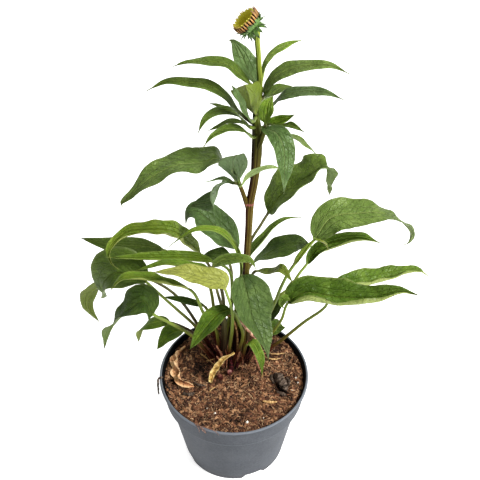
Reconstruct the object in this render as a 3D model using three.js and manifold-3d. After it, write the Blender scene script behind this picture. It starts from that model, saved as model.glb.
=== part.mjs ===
// A young purple coneflower in its plastic nursery pot. Millimetres, +Z up, the pot stands on z = 0.
import * as THREE from 'three';
import { mergeVertices } from 'three/addons/utils/BufferGeometryUtils.js';
import Module from 'manifold-3d';

const wasm = await Module();
wasm.setup();

// ---------------------------------------------------------------- driving dimensions

const GAP = 0.3; // air between pieces that rest on each other

const POT = {
  height: 125,
  rimRadius: 85,
  lip: [[-0.4, -4], [0, -3], [-0.4, -0.8], [-1.6, 0], [-2.8, -1]], // from rim radius and height
  lipDepth: 4,
  collarTop: 120,
  collarTopRadius: 82.4,
  collarRadius: 79.9, // at its lower edge
  collarBottom: 95,
  collarBlend: 8, // height over which the wall widens inside
  bodyTopRadius: 75.5,
  baseRadius: 59,
  wall: 1.8,
  floor: 3,
  footHeight: 3,
  footDraft: 0.3,
  padRadius: 14,
  padDraft: 2,
  segments: 48,
  notches: 4,
  notchTurn: 0.25, // turn of the first notch, as a share of their spacing
  notch: { width: 29, topWidth: 18, height: 7.5, depth: 16 },
};

const SOIL = {
  level: 117,
  moundHeight: 2.2,
  moundRadius: 34,
  crown: [-2, 32],
  hollow: { at: [54, -12], depth: 5, radius: 14 },
  swell: { height: 1.1, alongX: 13, alongY: 11 },
  crumb: 0.9,
  edgeCrumb: 0.4,
  wallGap: 0.7,
  floorCentre: 4,
  rings: 9,
  segments: 34,
  holeDepth: 9,
  holeClearance: 0.45,
};

const STALK = {
  footRadius: 2.1,
  topRadius: 1.55,
  stemLeafRadius: 1.5,
  kink: 122.2, // height at which a stalk leaves its upright foot
};

const BLADE = {
  thickness: 0.8,
  widest: 0.36, // share of the blade's length at which it is widest
  taper: 1.2,
  minHalfWidth: 0.45,
  ribRadius: [1.35, 0.5], // midrib under the blade, from base to tip
  waveHeight: 0.055, // of the blade's width
  maxWaveHeight: 1.8,
  waveLength: 34,
  waveSkew: -0.7, // the right edge waves the other way, and less
  rowLength: 9,
  rows: [6, 13],
  broad: 24, // a blade wider than this has four cells across, any other has two
};

const STEM = {
  path: [[9, 36, 123], [11, 34, 178], [13, 32, 229], [14, 30, 278], [16, 28, 331], [17, 27, 363],
    [21, 26, 395], [23, 25, 430], [23, 24, 459], [22, 23, 478], [23, 22, 499], [25, 22, 515],
    [24, 21, 534], [23, 21, 551], [22, 20.7, 563], [21.7, 20.5, 572], [19.8, 20.7, 574]],
  radii: [4.2, 3.8, 3.6, 3.5, 3.6, 4.1, 3.9, 4.2, 3.8, 3.2, 2.8, 2.5, 2.4, 2.3, 2.4, 2.6, 2.8],
};

const SHOOT = {
  path: [[16, 27.5, 352], [14, 26, 362], [11, 24, 375], [7, 22, 391], [5, 21, 400]],
  radii: [2.6, 2.6, 2.2, 2.0, 1.6],
};

const BRANCH = {
  path: [[22.5, 25.5, 424], [24, 23, 437], [27, 19, 452], [30, 14, 469], [31, 11, 479]],
  radii: [2.6, 2.8, 2.6, 2.3, 1.6],
};

const HEAD = {
  tiltAxis: [-0.687, 0.066, 0.724],
  receptacle: { radius: 11.7, height: 7.5, neck: 2.8, segments: 14 },
  ring: { outer: 12.8, inner: 11.3, height: 1.4, segments: 22 },
  rays: { count: 22, length: 6.9, width: 2.6, rise: 74, spread: 8, curl: 6 },
  disc: { radius: 10.7, height: 6.4, segments: 16 },
  florets: { count: 40, radius: 0.85, length: 2.6, reach: 0.86 },
  bractRows: [
    { count: 12, length: 7.2, rise: -28, curl: -24, at: 2.6 },
    { count: 13, length: 6.4, rise: -6, curl: 6, at: 5 },
  ],
  bracts: { width: 2.8, spread: 16, root: 0.62 },
  strapThickness: 0.9,
};

const COLOURS = {
  pot: 0x5b5f62,
  soil: 0x6b4a38,
  stem: 0x5f8a3a,
  bract: 0x5f9048,
  ray: 0xc08a45,
  disc: 0xb0aa1e,
  dryTan: 0xb98a5c,
  dryYellow: 0xd9bd78,
  stub: 0x9c5f5c,
  bark: 0x3a2a22,
  chip: 0xc9a57a,
  mid: 0x5f8f3f,
  bright: 0x6da838,
  blue: 0x557f55,
  dark: 0x3c6b2c,
  olive: 0x6f8c35,
  pale: 0x93ac62,
  yellow: 0xbccd62,
  yellowgreen: 0x90a83c,
};

// ---------------------------------------------------------------- leaves
// Each leaf's midrib runs through its points: the stalk rises from the foot, the blade follows. Roll turns
// the blade about its midrib, from base to tip, and fold lifts its left and right half, in degrees.

const BASAL_LEAVES = [
  {
    name: 'leaf_right_high', foot: [6, 44], tone: 'mid', width: 47, roll: [-35, 15], fold: [20, 15],
    stalk: [[18, 58, 276], [29, 64, 297]],
    blade: [[37, 68, 311], [52, 68, 340], [78, 70, 361], [95, 70, 376], [98, 70, 354], [102, 72, 332]],
  },
  {
    name: 'leaf_right_arching', foot: [16, 30], tone: 'mid',
    width: 37, widest: 0.28, roll: [-55, 55], fold: [5, 0],
    stalk: [[45, 35, 203], [52, 37, 228], [61, 40, 251], [74, 44, 272]],
    blade: [[87, 48, 292], [104, 53, 319], [129, 58, 320], [158, 66, 313], [185, 72, 293],
      [195, 75, 272], [191, 76, 260]],
  },
  {
    name: 'leaf_right_dark', foot: [13, 44], tone: 'dark', width: 29, roll: [45, -70], fold: [5, -5],
    stalk: [[17, 70, 197], [15, 76, 211]],
    blade: [[22, 83, 221], [35, 91, 223], [51, 100, 227], [71, 112, 224], [93, 123, 206]],
  },
  {
    name: 'leaf_right_behind', foot: [18, 44], tone: 'dark',
    width: 20, roll: [-60, -10], fold: [45, 15],
    stalk: [[53, 64, 186], [63, 70, 191], [75, 81, 205]],
    blade: [[83, 88, 212], [95, 94, 232], [119, 102, 236], [144, 108, 235], [171, 116, 219]],
  },
  {
    name: 'leaf_right_slim', foot: [0, 42], tone: 'mid', width: 8, roll: [-20, -15], fold: [0, 5],
    stalk: [[11, 42, 246], [17, 44, 272]],
    blade: [[33, 51, 292], [42, 58, 300], [55, 64, 306], [75, 72, 301]],
  },
  {
    name: 'leaf_right_small', foot: [15, 36], tone: 'olive', width: 15, roll: [20, -30], fold: [5, 10],
    stalk: [[18, 36, 208], [18, 37, 240]],
    blade: [[24, 37, 254], [40, 30, 260], [51, 25, 270], [64, 17, 256]],
  },
  {
    name: 'leaf_right_long', foot: [22, 28], tone: 'mid',
    width: 32, widest: 0.3, roll: [-25, -15], fold: [35, 0],
    stalk: [[41, 24, 163], [53, 20, 194]],
    blade: [[60, 17, 226], [78, 15, 243], [112, 12, 240], [152, 9, 243], [177, 7, 254], [200, 6, 248]],
  },
  {
    name: 'leaf_right_low', foot: [42, 40], tone: 'olive',
    width: 23, widest: 0.3, roll: [-15, -15], fold: [10, 10],
    stalk: [[55, 40, 136], [80, 41, 166], [103, 42, 191]],
    blade: [[110, 44, 216], [127, 49, 220], [163, 62, 215], [196, 73, 216], [210, 78, 212],
      [226, 83, 197]],
  },
  {
    name: 'leaf_right_inner', foot: [21, 36], tone: 'dark', width: 21, roll: [-20, -30], fold: [15, 20],
    stalk: [[28, 38, 148]],
    blade: [[36, 42, 167], [43, 44, 177], [58, 44, 206]],
  },
  {
    name: 'leaf_right_rim', foot: [25, 41], tone: 'bright', width: 22, roll: [-55, -20], fold: [30, 20],
    stalk: [[28, 43, 132]],
    blade: [[33, 47, 138], [40, 54, 141], [61, 66, 128]],
  },
  {
    name: 'leaf_front_broad', foot: [4, 24], tone: 'mid',
    width: 55, widest: 0.3, roll: [-10, 35], fold: [0, 25],
    stalk: [[11, 24, 171], [10, 25, 221]],
    blade: [[13, 25, 257], [19, 12, 245], [24, -6, 227], [33, -24, 211], [38, -40, 195]],
  },
  {
    name: 'leaf_front_short', foot: [4, 16], tone: 'bright', width: 12, roll: [-5, 25], fold: [15, -10],
    stalk: [[10, 13, 139]],
    blade: [[14, 8, 164], [20, 5, 174], [30, -4, 157], [32, -14, 134]],
  },
  {
    name: 'leaf_front_left', foot: [-2, 16], tone: 'bright', width: 23, roll: [5, 5], fold: [5, 30],
    stalk: [[10, 11, 175], [7, 8, 198]],
    blade: [[-3, 4, 227], [-16, -2, 228], [-32, -12, 214], [-48, -24, 194]],
  },
  {
    name: 'leaf_front_arch', foot: [-10, 26], tone: 'mid', width: 12, roll: [-65, -20], fold: [10, -5],
    stalk: [[-10, 20, 193], [-18, 15, 248]],
    blade: [[-22, 8, 289], [-11, 6, 302], [7, 3, 308], [18, 1, 307], [24, -1, 294]],
  },
  {
    name: 'leaf_yellow', foot: [-8, 20], tone: 'yellow', width: 25, roll: [25, 0], fold: [0, 10],
    stalk: [[-2, 4, 194], [-2, -8, 243]],
    blade: [[-8, -9, 272], [-10, -9, 286], [-28, -10, 292], [-49, -10, 300], [-83, -11, 302]],
  },
  {
    name: 'leaf_left_curled', foot: [-14, 46], tone: 'yellowgreen',
    width: 17, roll: [55, 10], fold: [-5, 40],
    stalk: [[-14, 75, 183]],
    blade: [[-39, 115, 202], [-52, 105, 230], [-69, 92, 261], [-94, 73, 282], [-116, 62, 288],
      [-134, 49, 277], [-133, 44, 260], [-124, 39, 253]],
  },
  {
    name: 'leaf_left_pointed', foot: [-20, 48], tone: 'mid', width: 24, roll: [5, 40], fold: [-15, -10],
    stalk: [[-34, 89, 194]],
    blade: [[-83, 124, 200], [-108, 124, 207], [-146, 123, 211], [-180, 123, 221]],
  },
  {
    name: 'leaf_left_round', foot: [-24, 34], tone: 'dark',
    width: 58, widest: 0.4, roll: [0, 55], fold: [20, 30],
    stalk: [[-44, 34, 167], [-63, 35, 193], [-81, 35, 218]],
    blade: [[-96, 36, 238], [-106, 38, 246], [-129, 41, 247], [-144, 45, 227], [-144, 49, 199]],
  },
  {
    name: 'leaf_left_hanging', foot: [-26, 42], tone: 'yellowgreen',
    width: 23, roll: [-5, -70], fold: [20, -10],
    stalk: [[-72, 54, 205]],
    blade: [[-122, 68, 219], [-144, 72, 202], [-165, 75, 181], [-172, 76, 154], [-161, 80, 121]],
  },
  {
    name: 'leaf_left_band', foot: [-18, 26], tone: 'yellowgreen',
    width: 12, roll: [-25, 45], fold: [0, 5],
    stalk: [[-20, 21, 175], [-33, 15, 210]],
    blade: [[-46, 7, 256], [-72, 6, 269], [-96, 6, 277], [-116, 6, 276], [-132, 6, 255]],
  },
  {
    name: 'leaf_left_upper', foot: [-12, 40], tone: 'mid', width: 16, roll: [25, 20], fold: [10, 25],
    stalk: [[-2, 46, 213], [-6, 51, 242]],
    blade: [[-21, 54, 250], [-44, 48, 263], [-71, 41, 271], [-98, 36, 276], [-136, 30, 282]],
  },
  {
    name: 'leaf_left_middle', foot: [-14, 32], tone: 'bright',
    width: 15, roll: [-15, 10], fold: [25, 15],
    stalk: [[-11, 30, 199], [-15, 28, 242]],
    blade: [[-25, 26, 269], [-47, 24, 274], [-72, 23, 279], [-105, 20, 272]],
  },
  {
    name: 'leaf_back_blue', foot: [-4, 50], tone: 'blue',
    width: 42, widest: 0.4, roll: [5, 25], fold: [8, 14],
    stalk: [[10, 70, 188], [9, 79, 222]],
    blade: [[5, 84, 241], [-3, 88, 251], [-17, 94, 263], [-31, 100, 274], [-42, 103, 282],
      [-50, 102, 279], [-54, 98, 265]],
  },
  {
    name: 'leaf_back_small', foot: [-8, 44], tone: 'dark', width: 29, roll: [-40, 10], fold: [10, 40],
    stalk: [[-2, 60, 199]],
    blade: [[-6, 76, 228], [-20, 83, 228], [-36, 91, 223]],
  },
  {
    name: 'leaf_left_drooping', foot: [-25, 24], tone: 'dark',
    width: 37, widest: 0.25, roll: [55, -75], fold: [25, 10],
    stalk: [[-48, 17, 171], [-73, 9, 203]],
    blade: [[-88, 3, 223], [-96, 1, 245], [-114, -1, 232], [-135, -4, 204], [-144, -7, 174]],
  },
  {
    name: 'leaf_left_slim', foot: [-19, 40], tone: 'dark', width: 11, roll: [60, 30], fold: [10, 50],
    stalk: [[-25, 41, 152]],
    blade: [[-33, 45, 188], [-55, 48, 197], [-82, 49, 200]],
  },
  {
    name: 'leaf_left_low', foot: [-30, 37], tone: 'bright', width: 17, roll: [60, -70], fold: [5, -20],
    stalk: [[-46, 46, 140]],
    blade: [[-73, 44, 162], [-86, 44, 164], [-107, 44, 153], [-112, 44, 127]],
  },
  {
    name: 'leaf_left_rim', foot: [-29, 30], tone: 'bright', width: 23, roll: [5, 10], fold: [20, 10],
    stalk: [[-43, 33, 148]],
    blade: [[-58, 36, 157], [-72, 29, 160], [-88, 18, 145]],
  },
];

// The first point of each stem leaf is the axis of its stem at the height "at".
const STEM_LEAVES = [
  {
    on: 'stem', at: 507, tone: 'mid', width: 14, roll: [15, 5], fold: [5, 15],
    blade: [[18, 24, 511], [5, 23, 525], [-6, 22, 536], [-25, 21, 539], [-41, 20, 539], [-55, 20, 534]],
  },
  {
    on: 'stem', at: 497, tone: 'blue', width: 25, roll: [-50, 55], fold: [5, 15],
    blade: [[23, 40, 496], [14, 54, 508], [7, 64, 520], [0, 70, 528], [-4, 73, 527]],
  },
  {
    on: 'stem', at: 464, tone: 'dark', width: 12, roll: [-20, 70], fold: [0, 5],
    blade: [[15, 28, 467], [5, 30, 476], [-6, 31, 493], [-23, 33, 505], [-40, 34, 507],
      [-60, 36, 507], [-82, 40, 492]],
  },
  {
    on: 'stem', at: 463, tone: 'mid', width: 13, roll: [-15, 50], fold: [10, 0],
    blade: [[17, 16, 468], [4, 11, 488], [-7, 6, 496], [-19, 0, 497], [-26, -4, 492], [-32, -8, 479]],
  },
  {
    on: 'stem', at: 466, tone: 'dark', width: 9, roll: [-65, 25], fold: [5, 5],
    blade: [[16, 27, 469], [3, 42, 469], [-12, 56, 463], [-25, 67, 459]],
  },
  {
    on: 'stem', at: 457, tone: 'mid', width: 9, roll: [-45, 20], fold: [0, 15],
    blade: [[20, 25, 461], [6, 24, 469], [-4, 23, 470], [-17, 22, 463], [-25, 22, 459]],
  },
  {
    on: 'stem', at: 453, tone: 'mid', width: 11, roll: [-20, 25], fold: [0, 30],
    blade: [[19, 14, 458], [10, 6, 473], [-5, -7, 485], [-11, -12, 486], [-19, -18, 485], [-27, -29, 480]],
  },
  {
    on: 'stem', at: 479, tone: 'pale', width: 42, roll: [-35, -45], fold: [60, 65],
    blade: [[21, 17, 484], [17, 11, 497], [14, 0, 521], [11, -5, 533]],
  },
  {
    on: 'stem', at: 476, tone: 'blue', width: 12, roll: [-15, 60], fold: [-30, 30],
    blade: [[18, 0, 488], [13, -4, 501], [7, -7, 518], [4, -10, 526], [-1, -13, 540]],
  },
  {
    on: 'branch', at: 475, tone: 'bright', width: 17, roll: [50, -45], fold: [20, 15],
    blade: [[30, -7, 490], [31, -2, 499], [32, 2, 506], [37, 8, 511]],
  },
  {
    on: 'branch', at: 470, tone: 'bright', width: 13, roll: [10, -30], fold: [55, 20],
    blade: [[32, 11, 475], [43, 11, 479], [51, 11, 483], [58, 11, 488]],
  },
  {
    on: 'branch', at: 471, tone: 'mid', width: 9, roll: [60, -65], fold: [5, 0],
    blade: [[33, 10, 477], [43, 2, 483], [54, -8, 490], [66, -18, 489]],
  },
  {
    on: 'branch', at: 467, tone: 'mid', width: 21, roll: [25, -25], fold: [-20, 15],
    blade: [[32, 2, 476], [44, 2, 472], [60, 4, 465], [72, 4, 455], [79, 6, 444]],
  },
  {
    on: 'branch', at: 472, tone: 'blue', width: 24, roll: [-20, 40], fold: [-5, 10],
    blade: [[28, -2, 482], [40, -15, 486], [46, -26, 479], [47, -39, 470], [46, -64, 455]],
  },
  {
    on: 'stem', at: 513, tone: 'mid', width: 11, roll: [55, -40], fold: [-5, -5],
    blade: [[27, 28, 516], [30, 40, 524], [37, 51, 528], [53, 65, 529], [66, 75, 526]],
  },
  {
    on: 'stem', at: 492, tone: 'dark', width: 15, roll: [-25, -20], fold: [20, 5],
    blade: [[28, 25, 496], [32, 24, 508], [40, 23, 522], [52, 21, 531], [73, 17, 538],
      [89, 16, 538], [106, 11, 532]],
  },
  {
    on: 'stem', at: 482, tone: 'dark', width: 16, roll: [55, -45], fold: [0, 10],
    blade: [[25, 33, 484], [36, 48, 481], [45, 59, 482], [58, 72, 475]],
  },
  {
    on: 'stem', at: 475, tone: 'blue', width: 15, roll: [20, -30], fold: [15, -5],
    blade: [[28, 21, 479], [37, 19, 492], [45, 16, 504], [61, 11, 513], [82, 4, 518], [101, -4, 515]],
  },
  {
    on: 'shoot', at: 396, tone: 'olive',
    width: 31, widest: 0.5, roll: [0, -25], fold: [25, 20],
    blade: [[5, 17, 400], [4, 11, 414], [0, -4, 444], [4, -12, 459]],
  },
  {
    on: 'shoot', at: 390, tone: 'mid', width: 39, roll: [-15, 15], fold: [10, 10],
    blade: [[6, 22, 393], [-6, 20, 414], [-15, 16, 431], [-30, 13, 428], [-54, 6, 430],
      [-80, -4, 422], [-96, -8, 406], [-108, -12, 397], [-104, -13, 392]],
  },
  {
    on: 'shoot', at: 396, tone: 'mid', width: 8, roll: [20, -80], fold: [-20, 40],
    blade: [[3, 13, 401], [-4, 8, 409], [-11, 2, 417], [-27, -10, 423]],
  },
  {
    on: 'shoot', at: 388, tone: 'blue', width: 35, roll: [-55, 65], fold: [0, -5],
    blade: [[5, 25, 390], [-8, 28, 390], [-15, 30, 381], [-19, 33, 364], [-45, 38, 348]],
  },
  {
    on: 'shoot', at: 398, tone: 'mid', width: 11, roll: [-10, 90], fold: [-35, 10],
    blade: [[7, 4, 406], [15, 2, 422], [23, 0, 430], [34, -2, 436], [48, -4, 434]],
  },
];

// ---------------------------------------------------------------- dead and loose matter
// A held piece leans on the stalks, the others are lowered onto the soil.

const DRY_PIECES = [
  {
    name: 'dry_leaf_curled', tone: 'dryTan',
    width: 14, widest: 0.5, roll: [-60, -50], fold: [25, 35],
    root: [-57, 45, 124],
    blade: [[-63, 38, 124], [-67, 28, 124], [-65, 17, 124], [-63, 4, 124], [-60, -7, 124],
      [-45, -14, 123]],
  },
  {
    name: 'dry_strip_yellow', tone: 'dryYellow',
    width: 9, widest: 0.6, roll: [20, 40], fold: [15, -10],
    root: [1, 7, 156],
    blade: [[-2, 6, 154], [-10, 4, 149], [-18, 1, 139], [-24, -4, 130], [-27, -10, 122]],
  },
  {
    name: 'dry_strip_pink', held: true, tone: 'dryTan',
    width: 8, widest: 0.5, roll: [10, 40], fold: [10, 25],
    root: [5, 12, 202],
    blade: [[7, 12, 199], [14, 10, 190], [20, 9, 181], [25, 9, 170]],
  },
];

const STUBS = [
  { name: 'cut_stub_left', at: [-15, -3], lean: [-2, -3], height: 3 },
  { name: 'cut_stub_right', at: [-6, 4], lean: [1, -4], height: 5 },
];
const STUB = { radius: 2.5, flare: 0.2 };

// Bark and wood that lie on the soil: each a short rod with its points and radii.
const CHIPS = [
  {
    name: 'bark_chunk', tone: 'bark', sides: 6,
    path: [[49, 3, 119], [52, -4, 121], [57, -14, 120], [60, -22, 119.5]], radii: [2, 5, 4.5, 1.5],
  },
  {
    name: 'wood_chip', tone: 'chip', sides: 5,
    path: [[32, -35, 121], [41, -37, 121.5], [49, -36, 121]], radii: [0.8, 1.6, 0.6],
  },
];

// ---------------------------------------------------------------- small helpers

const radians = THREE.MathUtils.degToRad;
const smooth = (x) => THREE.MathUtils.smoothstep(x, 0, 1);
const vector = (p) => new THREE.Vector3(...p);

/** A repeatable stream of numbers from 0 to 1. */
function seeded(seed) {
  let state = seed;
  return () => {
    state = (state * 1664525 + 1013904223) % 4294967296;
    return state / 4294967296;
  };
}

/** A line of closely spaced points that can be read at any distance along it. */
class Path {
  constructor(points) {
    this.points = points;
    this.distances = [0];
    for (let i = 1; i < points.length; i++) {
      this.distances.push(this.distances[i - 1] + points[i].distanceTo(points[i - 1]));
    }
    this.length = this.distances[this.distances.length - 1];
  }

  at(distance) {
    const d = THREE.MathUtils.clamp(distance, 0, this.length);
    let i = 1;
    while (this.distances[i] < d && i < this.points.length - 1) i++;
    const share = (d - this.distances[i - 1]) / (this.distances[i] - this.distances[i - 1]);
    return this.points[i - 1].clone().lerp(this.points[i], share);
  }

  direction(distance) {
    const step = 0.6;
    return this.at(distance + step).sub(this.at(distance - step)).normalize();
  }
}

const CURVE_STEPS = 24; // samples between two points of a curve

/** Closely spaced points of a smooth curve through a few given ones. */
function curvePoints(points) {
  const curve = new THREE.CatmullRomCurve3(points.map(vector), false, 'centripetal');
  return curve.getPoints((points.length - 1) * CURVE_STEPS);
}

/** The point of a stem's axis at a height. */
function axisAtHeight(stem, z) {
  const points = curvePoints(stem.path);
  return points.reduce((best, p) => (Math.abs(p.z - z) < Math.abs(best.z - z) ? p : best)).toArray();
}

/** Joins rows of points into one closed solid. The rows run clockwise as seen along the way they follow. */
function loft(rows) {
  const count = rows[0].length;
  const index = [];
  for (let i = 0; i < rows.length - 1; i++) {
    for (let j = 0; j < count; j++) {
      const a = i * count + j;
      const b = i * count + ((j + 1) % count);
      // The under face is split like the upper one, so that a waved blade keeps its thickness.
      if (j < count / 2) index.push(a, b, b + count, a, b + count, a + count);
      else index.push(a, b, a + count, b, b + count, a + count);
    }
  }
  const last = (rows.length - 1) * count;
  for (let j = 1; j < count - 1; j++) {
    index.push(0, j + 1, j, last, last + j, last + j + 1);
  }
  const geometry = new THREE.BufferGeometry();
  geometry.setAttribute('position', new THREE.Float32BufferAttribute(
    rows.flat().flatMap((p) => p.toArray()), 3));
  geometry.setIndex(index);
  return geometry;
}

/** A geometry as a manifold-3d solid. */
function solid(geometry) {
  const plain = geometry.clone();
  plain.deleteAttribute('normal');
  plain.deleteAttribute('uv');
  const merged = mergeVertices(plain, 1e-4);
  const corners = merged.index.array;
  const kept = [];
  for (let i = 0; i < corners.length; i += 3) {
    const [a, b, c] = [corners[i], corners[i + 1], corners[i + 2]];
    if (a !== b && b !== c && c !== a) kept.push(a, b, c);
  }
  return new wasm.Manifold(new wasm.Mesh({
    numProp: 3,
    vertProperties: Float32Array.from(merged.attributes.position.array),
    triVerts: Uint32Array.from(kept),
  }));
}

/** A manifold-3d solid as a three.js geometry. */
function geometryOf(body) {
  const mesh = body.getMesh();
  const geometry = new THREE.BufferGeometry();
  geometry.setAttribute('position', new THREE.Float32BufferAttribute(mesh.vertProperties, 3));
  geometry.setIndex(Array.from(mesh.triVerts));
  return geometry;
}

/** Several overlapping geometries as one closed body. */
function fuse(geometries) {
  return geometryOf(wasm.Manifold.union(geometries.map(solid)));
}

/** A round stem along a path, with a radius at each of its points. */
function stemGeometry({ path, radii }, sides) {
  const across = new THREE.Vector3(0, 1, 0);
  const points = path.map(vector);
  const rows = points.map((point, i) => {
    const before = points[Math.max(i - 1, 0)];
    const after = points[Math.min(i + 1, points.length - 1)];
    const along = after.clone().sub(before).normalize();
    const side = across.clone().addScaledVector(along, -across.dot(along)).normalize();
    const up = side.clone().cross(along);
    return Array.from({ length: sides }, (_, j) => {
      const angle = Math.PI - (2 * Math.PI * j) / sides;
      return point.clone()
        .addScaledVector(side, radii[i] * Math.cos(angle))
        .addScaledVector(up, radii[i] * Math.sin(angle));
    });
  });
  return loft(rows);
}

// ---------------------------------------------------------------- leaf blades

/** Half the blade's width at a share of its length, as a share of the widest. */
function outline(share, widest, taper) {
  const rise = (taper * widest) / (1 - widest);
  const peak = widest ** rise * (1 - widest) ** taper;
  return (share ** rise * (1 - share) ** taper) / peak;
}

/** One row of a leaf: a round stalk that opens into a folded, waved blade. */
function leafRow({ centre, along, across, roll, half, stalk, fold, wave, cells }) {
  const flat = across.clone().addScaledVector(along, -across.dot(along)).normalize();
  const rise = flat.clone().cross(along);
  const side = flat.clone().multiplyScalar(Math.cos(roll)).addScaledVector(rise, Math.sin(roll));
  const up = rise.clone().multiplyScalar(Math.cos(roll)).addScaledVector(flat, -Math.sin(roll));
  const open = smooth((half - stalk) / (2 * stalk));
  const corners = 2 * (cells + 1);
  return Array.from({ length: corners }, (_, j) => {
    const top = j <= cells;
    const k = top ? j : corners - 1 - j;
    const v = (2 * k) / cells - 1;
    const angle = Math.PI * (1 - (2 * j + 1) / corners);
    const round = centre.clone()
      .addScaledVector(side, stalk * Math.cos(angle))
      .addScaledVector(up, stalk * Math.sin(angle));
    const lift = radians(v < 0 ? fold[0] : fold[1]);
    const lean = v === 0 ? 0 : lift;
    const reach = Math.max(half, BLADE.minHalfWidth) * v;
    const rib = v === 0 && !top ? stalk : BLADE.thickness / 2;
    const out = (top ? 1 : -1) * rib;
    const blade = centre.clone()
      .addScaledVector(side, reach * Math.cos(lift) - Math.sign(v) * Math.sin(lean) * out)
      .addScaledVector(up, Math.abs(reach) * Math.sin(lift) + Math.cos(lean) * out)
      .addScaledVector(up, wave * v * v * (v < 0 ? 1 : BLADE.waveSkew));
    return round.lerp(blade, open);
  });
}

/** The rows of a leaf's round stalk, from the foot in the soil or the root on a stem. */
function stalkRows({ curve, end, steps, across, leaf, cells }) {
  const { foot, roll, fold } = leaf;
  const shared = { across, half: 0, fold, wave: 0, cells };
  const rows = [];
  if (foot) {
    const buried = vector([...foot, SOIL.level - SOIL.holeDepth + GAP]);
    const up = new THREE.Vector3(0, 0, 1);
    rows.push(leafRow({ ...shared, centre: buried, along: up, roll: 0, stalk: STALK.footRadius }));
  }
  for (let i = 0; i < steps; i++) {
    const distance = (end * i) / steps;
    const share = distance / Math.max(end, 1);
    const radius = foot
      ? THREE.MathUtils.lerp(STALK.footRadius, STALK.topRadius, share)
      : STALK.stemLeafRadius;
    rows.push(leafRow({
      ...shared, centre: curve.at(distance), along: curve.direction(distance),
      roll: radians(roll[0]) * smooth(share), stalk: radius,
    }));
  }
  return rows;
}

/** The rows of a leaf's blade, from where the stalk ends to the tip. */
function bladeRows({ curve, start, across, leaf, cells }) {
  const { width, roll, fold, widest = BLADE.widest } = leaf;
  const length = curve.length - start;
  const steps = Math.round(THREE.MathUtils.clamp(length / BLADE.rowLength, ...BLADE.rows));
  const waves = Math.max(2, Math.round(length / BLADE.waveLength));
  const waveHeight = Math.min(width * BLADE.waveHeight, BLADE.maxWaveHeight);
  return Array.from({ length: steps + 1 }, (_, i) => {
    const share = i / steps;
    const distance = start + length * share;
    return leafRow({
      centre: curve.at(distance), along: curve.direction(distance), across,
      roll: radians(THREE.MathUtils.lerp(...roll, share)),
      half: (width / 2) * outline(share, widest, BLADE.taper),
      stalk: THREE.MathUtils.lerp(...BLADE.ribRadius, share),
      wave: waveHeight * Math.sin(2 * Math.PI * waves * share) * Math.sin(Math.PI * share),
      fold, cells,
    });
  });
}

/** A whole leaf as one closed solid. */
function leafGeometry(leaf) {
  const { foot, root, stalk = [], blade, width } = leaf;
  const knots = [foot ? [...foot, STALK.kink] : root, ...stalk, ...blade];
  const curve = new Path(curvePoints(knots));
  const bladeStart = curve.distances[(1 + stalk.length) * CURVE_STEPS];
  const chord = vector(blade[blade.length - 1]).sub(vector(blade[0]));
  const across = new THREE.Vector3(chord.y, -chord.x, 0).normalize();
  const cells = width > BLADE.broad ? 4 : 2;
  const steps = foot ? 2 + stalk.length : 1;
  return loft([
    ...stalkRows({ curve, end: bladeStart, steps, across, leaf, cells }),
    ...bladeRows({ curve, start: bladeStart, across, leaf, cells }),
  ]);
}

// ---------------------------------------------------------------- pot

/** The pot's outline as (radius, height), from the middle of its underside to the middle of its floor. */
function potProfile() {
  const { rimRadius, height, wall, floor, footHeight, padRadius, baseRadius, collarBottom } = POT;
  const corner = baseRadius - wall;
  return [
    [0, 0],
    [padRadius, 0],
    [padRadius + POT.padDraft, footHeight],
    [corner, footHeight],
    [corner + POT.footDraft, 0],
    [baseRadius, 0],
    [POT.bodyTopRadius, collarBottom],
    [POT.collarRadius, collarBottom + 1],
    [POT.collarTopRadius, POT.collarTop],
    ...POT.lip.map(([r, z]) => [rimRadius + r, height + z]),
    ...[height - POT.lipDepth, collarBottom + POT.collarBlend, collarBottom, footHeight + floor]
      .map((z) => [innerRadius(z), z]),
    [0, footHeight + floor],
  ].map(([r, z]) => new THREE.Vector2(r, z));
}

/** Inner radius of the pot's wall at a height. */
function innerRadius(z) {
  const { lerp } = THREE.MathUtils;
  const { baseRadius, bodyTopRadius, collarBottom, collarRadius, collarTop, collarTopRadius } = POT;
  const body = lerp(baseRadius, bodyTopRadius, z / collarBottom);
  const collarShare = (z - collarBottom) / (collarTop - collarBottom);
  const collar = lerp(collarRadius, collarTopRadius, collarShare);
  return lerp(body, collar, smooth((z - collarBottom) / POT.collarBlend)) - POT.wall;
}

/** A solid turned about the upright axis from a profile of (radius, height). */
function turned(profile, segments) {
  const geometry = new THREE.LatheGeometry(profile, segments);
  geometry.rotateX(Math.PI / 2);
  return geometry;
}

/** A block across the pot's foot that narrows upwards, as far below the base as above it. */
function notchGeometry() {
  const { width, topWidth, height, depth } = POT.notch;
  const ring = (across, z) => [[1, -1], [1, 1], [-1, 1], [-1, -1]].map(([out, aside]) => (
    new THREE.Vector3(POT.baseRadius + (out * depth) / 2, (aside * across) / 2, z)));
  return loft([ring(2 * width - topWidth, -height), ring(topWidth, height)]);
}

/** The pot, with drainage notches cut through the foot ring and the edge of the floor. */
function potGeometry() {
  let body = solid(turned(potProfile(), POT.segments));
  for (let i = 0; i < POT.notches; i++) {
    const notch = notchGeometry();
    notch.rotateZ((2 * Math.PI * (i + POT.notchTurn)) / POT.notches);
    body = body.subtract(solid(notch));
  }
  return geometryOf(body);
}

// ---------------------------------------------------------------- soil

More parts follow.
